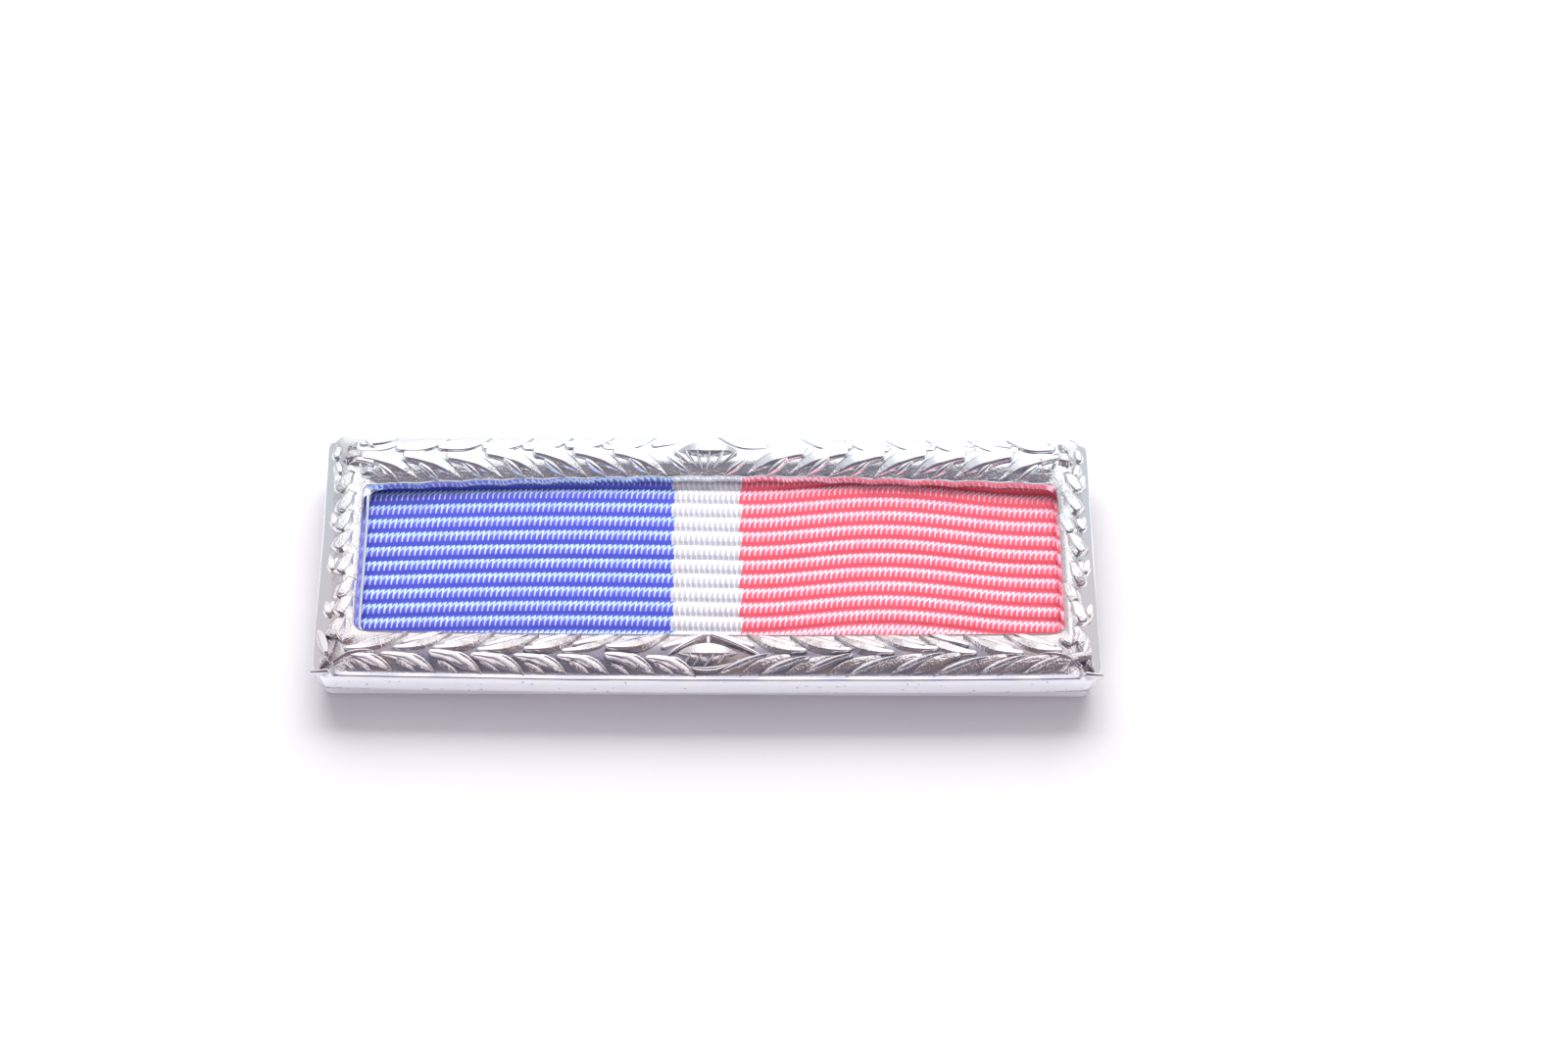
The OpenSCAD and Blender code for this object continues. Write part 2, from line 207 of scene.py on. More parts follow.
def new_object(name, points, faces):
    """A smooth mesh object from points in metres and lists of point numbers."""
    mesh = bpy.data.meshes.new(name)
    mesh.from_pydata([tuple(p) for p in points], [], faces)
    mesh.update()
    mesh.shade_smooth()
    return linked(name, mesh)


def ring_faces(rows, columns, wrap_rows):
    """Quads between rows of points, each a closed ring with as many columns."""
    faces = []
    for i in range(rows if wrap_rows else rows - 1):
        for j in range(columns):
            a, b = i * columns, (i + 1) % rows * columns
            k = (j + 1) % columns
            faces.append((a + j, a + k, b + k, b + j))
    return faces


def points_of(mesh):
    """The points of a mesh."""
    co = np.zeros(len(mesh.vertices) * 3, np.float32)
    mesh.vertices.foreach_get("co", co)
    return co.reshape(-1, 3)


def layer_of(mesh, name):
    """One number for each point of a mesh: how coarse its surface is there, or how much shade is painted on
    it, which below nought is a painted highlight.
    """
    values = np.zeros(len(mesh.vertices), np.float32)
    if name in mesh.attributes:
        mesh.attributes[name].data.foreach_get("value", values)
    return values


def set_layer(mesh, name, values):
    """Writes one number for each point of a mesh."""
    layer = mesh.attributes.new(name, "FLOAT", "POINT")
    layer.data.foreach_set("value", np.asarray(values, np.float32))


def joined(name, objects):
    """One mesh object that holds the meshes of all these objects, which are removed."""
    faces, start = [], 0
    for obj in objects:
        faces += [tuple(v + start for v in p.vertices) for p in obj.data.polygons]
        start += len(obj.data.vertices)
    made = new_object(name, np.concatenate([points_of(obj.data) for obj in objects]), faces)
    for layer in LAYERS:
        set_layer(made.data, layer, np.concatenate([layer_of(obj.data, layer) for obj in objects]))
    for obj in objects:
        bpy.data.objects.remove(obj)
    return made


def eased(x):
    """A smooth step from 0 to 1."""
    x = np.clip(x, 0, 1)
    return x * x * (3 - 2 * x)


def between(t, start, ramp, end, fade):
    """A smooth rise that starts at one place and a smooth fall that starts at another."""
    return eased((t - start) / ramp) * (1 - eased((t - end) / fade))


def wave(x, seed, cycles):
    """A smooth random wave between -1 and 1 over x, which is in metres."""
    draw = np.random.default_rng(seed)
    total = np.zeros_like(x)
    for k in range(1, 5):
        total += np.sin(x * cycles * k * 2 * math.pi + draw.uniform(0, 6.28)) / k
    return total / 2.1


# Nodes

class Nodes:
    """A short way to write the nodes of a material, a world or a Geometry Nodes tree."""

    def __init__(self, tree):
        self.tree = tree
        self.ids = {}

    def feed(self, target, value):
        """Gives an input a link or a value."""
        if isinstance(value, bpy.types.NodeSocket):
            self.tree.links.new(value, target)
        else:
            target.default_value = value

    def wire(self, inputs, **given):
        """Feeds inputs by their names, with underscores for blanks, or by i and their numbers."""
        for key, value in given.items():
            by_number = key[0] == "i" and key[1:].isdigit()
            self.feed(inputs[int(key[1:]) if by_number else key.replace("_", " ")], value)

    def node(self, kind, settings=None, **given):
        """A node with its settings and its inputs."""
        made = self.tree.nodes.new(kind)
        for key, value in (settings or {}).items():
            setattr(made, key, value)
        self.wire(made.inputs, **given)
        return made

    def first(self, kind, settings=None, **given):
        """The first output of a new node."""
        return self.node(kind, settings, **given).outputs[0]

    def math(self, operation, a, b=0.0, c=0.0):
        """A math node over up to three links or numbers."""
        return self.first("ShaderNodeMath", {"operation": operation}, i0=a, i1=b, i2=c)

    def plus(self, a, b):
        return self.math("ADD", a, b)

    def minus(self, a, b):
        return self.math("SUBTRACT", a, b)

    def times(self, a, b):
        return self.math("MULTIPLY", a, b)

    def over(self, a, b):
        return self.math("DIVIDE", a, b)

    def scaled(self, a, b, c):
        """a times b, plus c."""
        return self.math("MULTIPLY_ADD", a, b, c)

    def larger(self, a, b):
        return self.math("MAXIMUM", a, b)

    def absolute(self, a):
        return self.math("ABSOLUTE", a)

    def vector(self, x=0.0, y=0.0, z=0.0):
        return self.first("ShaderNodeCombineXYZ", X=x, Y=y, Z=z)

    def apart(self, vector):
        """The three numbers of a vector."""
        return self.node("ShaderNodeSeparateXYZ", i0=vector).outputs

    def noise(self, where, scale, detail):
        return self.first("ShaderNodeTexNoise", Vector=where, Scale=scale, Detail=detail)

    def luck(self, cell):
        """A random number for each cell."""
        return self.first("ShaderNodeTexWhiteNoise", {"noise_dimensions": "3D"}, Vector=cell)

    def smooth(self, value, low, high, to_low=0.0, to_high=1.0):
        """A smooth step between two numbers as the value goes from low to high."""
        return self.first("ShaderNodeMapRange", {"interpolation_type": "SMOOTHSTEP"}, Value=value,
                          From_Min=low, From_Max=high, To_Min=to_low, To_Max=to_high)

    def mix(self, share_of_b, a, b):
        """A colour between two colours."""
        return self.node("ShaderNodeMix", {"data_type": "RGBA"}, i0=share_of_b, i6=a, i7=b).outputs[2]

    def layer(self, name):
        """A layer of the mesh."""
        return self.node("ShaderNodeAttribute", {"attribute_name": name}).outputs["Fac"]

    def bump(self, strength, distance, height):
        return self.first("ShaderNodeBump", Strength=strength, Distance=distance, Height=height)

    def facing(self, way, towards):
        """How far a direction lies towards another one."""
        dot = self.node("ShaderNodeVectorMath", {"operation": "DOT_PRODUCT"}, i0=way, i1=towards)
        return dot.outputs["Value"]


def geometry_tree(name, kinds):
    """An empty Geometry Nodes tree with named inputs, listed by kind, and the outputs of its input node."""
    group = bpy.data.node_groups.new(name, "GeometryNodeTree")
    group.is_modifier = True
    tree = Nodes(group)
    for kind, names in kinds.items():
        for key in names:
            made = group.interface.new_socket(key, in_out="INPUT", socket_type="NodeSocket" + kind)
            tree.ids[key] = made.identifier
    group.interface.new_socket("Geometry", in_out="OUTPUT", socket_type="NodeSocketGeometry")
    return tree, group.nodes.new("NodeGroupInput").outputs


def closed_tree(tree, geometry, material):
    """Ends a Geometry Nodes tree, with its instances realized and its material set."""
    real = tree.first("GeometryNodeRealizeInstances", Geometry=geometry)
    painted = tree.first("GeometryNodeSetMaterial", Geometry=real, Material=material)
    tree.node("NodeGroupOutput", i0=painted)
    return tree


def grown(name, tree, values):
    """The plain mesh that a Geometry Nodes tree gives for these values."""
    holder = new_object(name + "_tree", [(0, 0, 0)], [])
    modifier = holder.modifiers.new("Tree", "NODES")
    modifier.node_group = tree.tree
    for key, value in values.items():
        modifier[tree.ids[key]] = value
    bpy.context.view_layer.update()
    mesh = bpy.data.meshes.new_from_object(holder.evaluated_get(bpy.context.evaluated_depsgraph_get()))
    holder.modifiers.clear()
    bpy.data.objects.remove(holder)
    return linked(name, mesh)


# Cast frame

LONG_STEPS = 150
SHORT_STEPS = 44
CORNER_STEPS = 8
SOFT = 0.03 * MM
POCKET_GAP = 0.08 * MM
SKIRT_STEPS = (0.25, 0.5, 0.75)
SLOPE_STEPS = (0.04, 0.2, 0.4, 0.6, 0.75)
BEVEL_TURNS = (0.4, 0.8, 1.2)
# How far across a long rail each ring of the bed lies, from -1 at the outer lip to 1 at the window.
BED_STEPS = (-1.1, -1.0, -0.93, -0.75, -0.5, -0.25, 0.0, 0.25, 0.5, 0.75, 0.93, 0.98)
# How far down the window's wall each ring lies, and how far it leans in at the left end.
WALL_STEPS = ((0.0, 0.0), (0.06, 0.05), (0.3, 0.25), (0.6, 0.5), (0.84, 0.7), (0.85, 0.76), (0.88, 0.94),
              (1.0, 1.0))


def bar_half_length(cast):
    """Half the bar's length over its short rails, without the spurs."""
    return FRAME_HIGH.x - cast.spur


def edge_y(cast, x):
    """Half the bar's height at x."""
    return FRAME_HIGH.y - cast.bow * (x / bar_half_length(cast)) ** 2


def side_rise(cast, w, rail):
    """Height of a short rail over the outer lip at a distance w from the bar's end, past its slope."""
    top = cast.slope_w + cast.side_run
    if w < top:
        return cast.side_crown * (1 - ((w - top) / cast.side_run) ** 2)
    return cast.side_crown + (cast.lip_rise - cast.side_crown) * min(1.0, (w - top) / (rail - top)) ** 2


def crowned(cast, ring, q):
    """Lifts a ring of the bed: q runs from -1 at the outer lip to 1 at the window."""
    half_l = bar_half_length(cast)
    dip = cast.groove * min(1.0, max(0.0, 12 * (1 - abs(q))))
    along = cast.crown * max(1 - q * q, 0) - dip
    for sign, rail in ((-1, cast.left_rail), (1, cast.right_rail)):
        x = sign * ring[:, 0]
        near = eased(1 - (x.max() - x) / (0.8 * MM)) * (x > 0)
        ring[:, 2] += near * side_rise(cast, half_l - x.max(), rail)
        ring[:, 2] += np.where(x > 0, (1 - near) * along, 0)
    return ring


def slope_share(cast, y):
    """Width of the slope outside the short rails at y, as a share of its width at the middle."""
    return np.clip(1 - cast.slope_taper * y / FRAME_HIGH.y, 0.3, 1.5)


def wedged(cast, ring, f, half_l):
    """Narrows a ring's slope towards the upper corners and widens it towards the lower ones."""
    x, y = ring[:, 0], ring[:, 1]
    end = eased((np.abs(x) - half_l + 2.4 * MM) / (0.6 * MM))
    ring[:, 0] += np.sign(x) * end * cast.slope_w * f * (1 - slope_share(cast, y))
    return ring


def window_sag(cast, ring):
    """How far the upper window edge hangs down at each point of a ring, most at the left end."""
    x = ring[:, 0] / FRAME_HIGH.x
    return cast.sag * (x - 0.14) ** 2 * eased((ring[:, 1] - 1.5 * MM) / (4 * MM))


def dropped(cast, leaf, ring, part):
    """Lets a ring follow the upper window edge: its sag, and its dip under each leaf tip."""
    ring[:, 1] -= window_sag(cast, ring) * part
    x = np.abs(ring[:, 0])
    near = np.clip((0.9 * FRAME_HIGH.x - x) / (1.5 * MM), 0, 1) * (ring[:, 1] > 0)
    turn = 2 * math.pi * (x - leaf.first_tip + leaf.lead) / leaf.pitch
    ring[:, 1] -= near * cast.scallop * part ** 3 * (0.6 + 0.5 * np.cos(turn) + 0.15 * np.cos(2 * turn))
    return ring


def outline(cast, left, right, in_y, r_low, r_top, z):
    """One ring of the casting, counter-clockwise from its low right corner, as an array of points."""
    def corner(cx, cy, r, start):
        turn = start + np.linspace(0, math.pi / 2, CORNER_STEPS)
        return np.stack([cx + r * np.cos(turn), cy + r * np.sin(turn)], 1)

    def run(start, end, sign):
        x = np.linspace(start, end, LONG_STEPS)[1:-1]
        return np.stack([x, sign * (edge_y(cast, x) - in_y)], 1)

    def side(x, start, end):
        y = np.linspace(start, end, SHORT_STEPS)[1:-1]
        return np.stack([np.full_like(y, x), y], 1)

    low = edge_y(cast, right) - in_y - r_low
    top = edge_y(cast, right) - in_y - r_top
    parts = [
        corner(right - r_low, -low, r_low, -math.pi / 2),
        side(right, -low, top),
        corner(right - r_top, top, r_top, 0),
        run(right - r_top, -left + r_top, 1),
        corner(-left + r_top, top, r_top, math.pi / 2),
        side(-left, top, -low),
        corner(-left + r_low, -low, r_low, math.pi),
        run(-left + r_low, right - r_low, -1),
    ]
    flat = np.concatenate(parts)
    return np.column_stack([flat, np.full(len(flat), z)])


def casting_rings(cast, leaf):
    """The casting's rings, from its lower inner edge out, up, over the bed and down the window."""
    half_l = bar_half_length(cast)
    low_z = FRAME_LOW.z - cast.skirt_over
    bed = cast.bed_z
    edge_z = bed - cast.slope_drop
    lip = bed + cast.lip_rise
    foot = RIBBON_HIGH.z - 0.5 * cast.lip_rise
    rings = []

    def skirt(in_x, in_y, z, f=0.0):
        ring = outline(cast, half_l - in_x, half_l - in_x, in_y, cast.low_corner, cast.top_corner, z)
        ring = wedged(cast, ring, f, half_l)
        x, y = ring[:, 0], ring[:, 1]
        front = eased((-y - edge_y(cast, x) + 0.7 * MM) / (0.6 * MM))
        front = front * eased((np.abs(x) - half_l + 1.2 * MM) / (1.2 * MM))
        ring[:, 0] -= np.sign(x) * front * cast.corner_cut
        if f > 0:
            ring[:, 2] = bed - (bed - ring[:, 2]) * np.minimum(1, slope_share(cast, y)) * (1 - 0.5 * front)
        rings.append(ring)

    def window(left, right, in_y, z):
        corner = cast.window_corner
        ring = outline(cast, half_l - left, half_l - right, in_y, corner, corner, z)
        rings.append(dropped(cast, leaf, ring, 1.0))

    inset = cast.skirt_lean
    skirt(inset / 2 + SOFT, inset + SOFT, low_z)
    skirt(inset / 2, inset, low_z + SOFT)
    for t in SKIRT_STEPS:
        skirt(inset / 2 * (1 - t), inset * (1 - t), low_z + t * (edge_z - low_z))
    skirt(SOFT / 3, 0, edge_z - SOFT)
    slope = cast.slope_w
    knee = 1 - cast.bevel / cast.slope_drop
    for f in (*SLOPE_STEPS, knee):
        skirt(slope * f, 0, bed - cast.slope_drop * (1 - f), f)
    for turn in BEVEL_TURNS:
        f = knee + (1 - knee) * math.sin(turn)
        skirt(slope * f, cast.bevel * (1 - math.cos(turn)), bed - cast.bevel * (1 - math.sin(turn)), f)
    skirt(slope, cast.bevel, bed, 1.0)
    lip_share = (cast.flat - cast.bevel) / (cast.long_rail - cast.bevel)
    for q in BED_STEPS:
        t = lip_share + (q + 1) / 2 * (1 - lip_share)
        left, right = (half_l - slope - t * (rail - slope) for rail in (cast.left_rail, cast.right_rail))
        in_y = cast.bevel + t * (cast.long_rail - cast.bevel)
        ring = outline(cast, left, right, in_y, cast.window_corner, cast.window_corner, bed)
        ring = wedged(cast, crowned(cast, ring, q), 1 - t, half_l)
        rings.append(dropped(cast, leaf, ring, max(0.0, (q + 1) / 2)))
    window(cast.left_rail - SOFT, cast.right_rail - SOFT, cast.long_rail - SOFT, lip - SOFT / 3)
    for t, lean in WALL_STEPS:
        window(cast.left_rail + lean * cast.left_draft, cast.right_rail + t * cast.right_draft,
               cast.long_rail + t * cast.long_draft, lip - SOFT - t * (lip - SOFT - foot))
    inner_x = RIBBON_HIGH.x + POCKET_GAP
    inner_y = RIBBON_HIGH.y + POCKET_GAP
    in_y = edge_y(cast, inner_x) - inner_y
    for z in (foot - SOFT, low_z):
        ring = outline(cast, inner_x, inner_x, in_y, cast.low_corner, cast.low_corner, z)
        ring[:, 1] = np.clip(ring[:, 1], -inner_y, inner_y)
        rings.append(ring)
    return rings


def bed_crease(cast, points):
    """Which points are on the bed, and how much shade is painted on the bed and on the window's upper wall.
    """
    x, y, z = points.T
    v = np.abs(y) - (edge_y(cast, x) - cast.long_rail / 2)
    v += window_sag(cast, points) * np.clip(0.5 - v / cast.long_rail, 0, 1)
    outer_end = cast.long_rail / 2 - cast.flat - 0.03 * MM
    inner_end = cast.long_rail / 2 - np.where(y > 0, 0.04, 0.1) * MM
    end = eased((np.abs(x) - (bar_half_length(cast) - 2.3 * MM)) / (0.5 * MM))
    on_bed = (z > cast.bed_z - 0.05 * MM) & (z < cast.bed_z + 0.6 * MM)
    on_bed &= (v < outer_end) & ((v > -inner_end) | (end > 0.5))
    # Painted shade on the bed: over the lower rail, fading out towards its window; on the upper rail only
    # next to the window; faint at the bar's ends.
    low = np.where(v > 0, 0.95, 0.95 - 0.75 * eased((-v - 0.2 * MM) / (0.5 * MM)))
    top = 0.03 + 0.72 * eased((-0.35 * MM - v) / (0.4 * MM))
    crease = np.where(y < 0, low, top) * (1 - end) + 0.15 * end
    # Painted shadow on the window's upper wall, under the upper rail, darker towards the left.
    wall = (v < 0.05 * MM - cast.long_rail / 2) & (y > 4 * MM) & (end < 1) & (z < cast.bed_z + 0.03 * MM)
    return on_bed, np.where(wall, np.where(x < 1.7 * MM, 0.55, 0.25), crease * on_bed)


class RIBBONBAR_OT_casting(bpy.types.Operator):
    """Builds the cast frame: skirt, slope, bed, window and laurel, as one piece."""

    bl_idname = "ribbonbar.casting"
    bl_label = "Cast Frame"

    def execute(self, context):
        cast, leaf, _, _ = settings()
        plate = cast_plate(cast)
        rings = casting_rings(cast, leaf)
        points = np.concatenate(rings)
        points[:, 0] += cast.wave * wave(points[:, 1], 3, 90)
        points[:, 1] += cast.wave * wave(points[:, 0], 4, 60)
        over_slope = points[:, 2] > cast.bed_z - cast.slope_drop
        points[:, 2] += cast.wave * wave(points[:, 0] + points[:, 1], 5, 70) * over_slope
        body = new_object("casting_body", points, ring_faces(len(rings), len(rings[0]), True))
        on_bed, crease = bed_crease(cast, points)
        set_layer(body.data, "grit", on_bed * np.where(points[:, 1] > 5 * MM, 0.1, 0.6))
        set_layer(body.data, "crease", crease)
        buds = [bud(cast, leaf, side) for side in (-1, 1)]
        made = joined("laurel_casting", [body, *leaf_rows(cast, leaf, plate), *buds, *corners(cast, leaf)])
        made.data.materials.append(plate)
        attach(made, "root")
        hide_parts("laurel_frame")
        return {"FINISHED"}


# Leaves

# How far a painted highlight takes the shade layer below nought.
HIGHLIGHT_DEPTH = 1.6
SPRIG_LAG = 0.97 * MM
UNDER_LAG = 0.4 * MM
# A fold of a bud: where it starts along the rail, how far it leans, and how far it reaches.
UPPER_FOLDS = ((-1.6, 0.9, 0.8), (-1.05, 0.6, 0.9), (-0.5, 0.25, 1.0), (0.1, -0.15, 1.0), (0.75, -0.5, 0.95),
               (1.4, -0.9, 0.8))
LOWER_FOLDS = ((-0.75, -0.3, 0.5), (-0.2, -0.45, 0.55), (0.35, -0.5, 0.6), (0.85, -0.4, 0.45))


def blade(name, spine, half_w, top, bed_z, root, ground, level=1.0, flat=0.3, across=15, ridges=(),
          shingle=0.0, grit=0.0, crease=0.8, strokes=()):
    """A closed leaf along a spine, flat in its middle, that falls smoothly to the ground at its edges.

    Widths, tops over the bed, level, grit and painted shade go with the spine's points. At level 1 the leaf
    lies level across, and at 0 it follows the ground. A ridge is its height along the spine, its place and
    its width across. A painted highlight is the same for a bright line painted on, which is painted shade
    below nought.
    """
    spine = np.asarray(spine, float)
    n = len(spine)
    tangent = np.gradient(spine, axis=0)
    tangent /= np.linalg.norm(tangent, axis=1)[:, None]
    normal = np.stack([-tangent[:, 1], tangent[:, 0]], 1)
    level, grit, crease, shingle = (np.broadcast_to(given, n) for given in (level, grit, crease, shingle))
    s = np.linspace(-1, 1, across)
    fall = 1 - eased((np.abs(s) - flat) / (1 - flat))
    rows = []
    for i in range(n):
        place = spine[i] + np.outer(s * half_w[i], normal[i])
        low = ground(place[:, 1])
        under = level[i] * low + (1 - level[i]) * ground(spine[i, 1])
        z = bed_z + low + fall * (top[i] - under - shingle[i] * s) - 0.02 * MM * s ** 8
        for height, middle, width in ridges:
            z = z + height[i] * np.exp(-((s - middle) / width) ** 2)
        edge = np.column_stack([place, z])
        foot_a, foot_b = edge[0].copy(), edge[-1].copy()
        foot_a[2] = foot_b[2] = bed_z - root
        rows.append(np.vstack([foot_a, edge, foot_b]))
    columns = across + 2
    faces = [tuple(reversed(f)) for f in ring_faces(n, columns, False)]
    faces.append(tuple(range(columns)))
    faces.append(tuple(reversed(range((n - 1) * columns, n * columns))))
    made = outward(new_object(name, np.concatenate(rows), faces))
    # Painted shade: none in the leaf's middle, growing towards its edges, full on its feet.
    creases = np.outer(crease, np.concatenate([[1], eased((np.abs(s) - 0.45) / 0.55), [1]]))
    # Painted highlights: bright lines painted along the leaf.
    for polish, middle, width in strokes:
        creases[:, 1:-1] -= np.outer(polish, HIGHLIGHT_DEPTH * np.exp(-((s - middle) / width) ** 2))
    set_layer(made.data, "grit", np.repeat(grit, columns))
    set_layer(made.data, "crease", creases.ravel())
    return made


def outward(obj):
    """Turns the faces of a closed mesh outwards."""
    work = bmesh.new()
    work.from_mesh(obj.data)
    bmesh.ops.recalc_face_normals(work, faces=work.faces)
    work.to_mesh(obj.data)
    work.free()
    return obj


def leaf_path(reach, start_v, spread, bend, steps):
    """A leaf's share t from root to tip, its distance v from the rail's middle, and its line to x = 0."""
    t = np.linspace(0, 1, steps)
    v = start_v + (spread - start_v) * t ** bend
    return t, v, np.stack([reach * (1 - t), v], 1)


def leaf_width(t, half_w, root_share, fullest, tip=0.06):
    """Half widths along a leaf: narrow at its rounded start, fullest at one place, and pointed."""
    shrink = np.clip((t - fullest) / (1 - fullest), 0, 1)
    width = half_w * MM * (root_share + (1 - root_share) * eased(t / fullest))
    return width * np.maximum(1 - shrink ** 1.8, tip) * np.clip(0.4 + t / 0.08, 0, 1)


def row_tree():
    """Geometry Nodes: leaves in a row along the X axis, bowed, mirrored and turned into place."""
    tree, given = geometry_tree("Leaf Row", {
        "Object": ["Leaf"], "Int": ["Count", "Seed"], "Vector": ["Place", "Mirror"], "Bool": ["Inside Out"],
        "Float": ["Pitch", "First", "Middle", "Bow", "Half Length", "Grain", "Tilt", "Turn"],
        "Material": ["Material"],
    })
    tilt, seed = given["Tilt"], given["Seed"]
    line = tree.first("GeometryNodeMeshLine", Count=given["Count"], Offset=tree.vector(given["Pitch"]),
                      Start_Location=tree.vector(given["First"]))
    out = tree.over(tree.apart(tree.first("GeometryNodeInputPosition"))[0], given["Half Length"])
    sag = tree.times(tree.times(out, out), given["Bow"])
    shift = tree.vector(0.0, tree.minus(given["Middle"], sag))
    bowed = tree.first("GeometryNodeSetPosition", Geometry=line, Offset=shift)
    leaf = tree.node("GeometryNodeObjectInfo", Object=given["Leaf"], As_Instance=True).outputs["Geometry"]
    down = tree.times(tilt, -1.0)
    drawn = {"data_type": "FLOAT_VECTOR"}
    lean = tree.first("FunctionNodeRandomValue", drawn, i0=tree.vector(down, down, down),
                      i1=tree.vector(tilt, tilt, tilt), Seed=seed)
    size = tree.first("FunctionNodeRandomValue", drawn, i0=(0.94, 0.94, 0.98), i1=(1.06, 1.04, 1.01),
                      Seed=tree.plus(seed, 50))
    leaves = tree.first("GeometryNodeInstanceOnPoints", Points=bowed, Instance=leaf, Scale=size,
                        Rotation=tree.first("FunctionNodeEulerToRotation", i0=lean))
    real = tree.first("GeometryNodeRealizeInstances", Geometry=leaves)
    noise = tree.first("ShaderNodeTexNoise", {"noise_dimensions": "4D"}, Scale=6500.0, Detail=2.0,
                       W=tree.times(seed, 3.7))
    coarse = tree.first("GeometryNodeInputNamedAttribute", {"data_type": "FLOAT"}, Name="grit")
    push = tree.times(tree.minus(noise, 0.5), tree.times(given["Grain"], coarse))
    normal = tree.first("GeometryNodeInputNormal")
    offset = tree.first("ShaderNodeVectorMath", {"operation": "SCALE"}, i0=normal, Scale=push)
    grained = tree.first("GeometryNodeSetPosition", Geometry=real, Offset=offset)
    mirrored = tree.first("GeometryNodeTransform", Geometry=grained, Scale=given["Mirror"])
    flipped = tree.first("GeometryNodeFlipFaces", Mesh=mirrored)
    chosen = tree.first("GeometryNodeSwitch", {"input_type": "GEOMETRY"}, Switch=given["Inside Out"],
                        i1=mirrored, i2=flipped)
    placed = tree.first("GeometryNodeTransform", Geometry=chosen, Translation=given["Place"],
                        Rotation=tree.vector(0.0, 0.0, given["Turn"]))
    return closed_tree(tree, placed, given["Material"])


def level_ground(height):
    """The ground of a leaf that stands on a level bed."""
    return lambda v: np.full_like(np.asarray(v, float), height)


def slope_ground(v):
    """The ground under the outer leaves of a short rail, which falls with the slope."""
    return -0.06 * MM - 0.42 * np.maximum(np.asarray(v, float) - 0.57 * MM, 0)


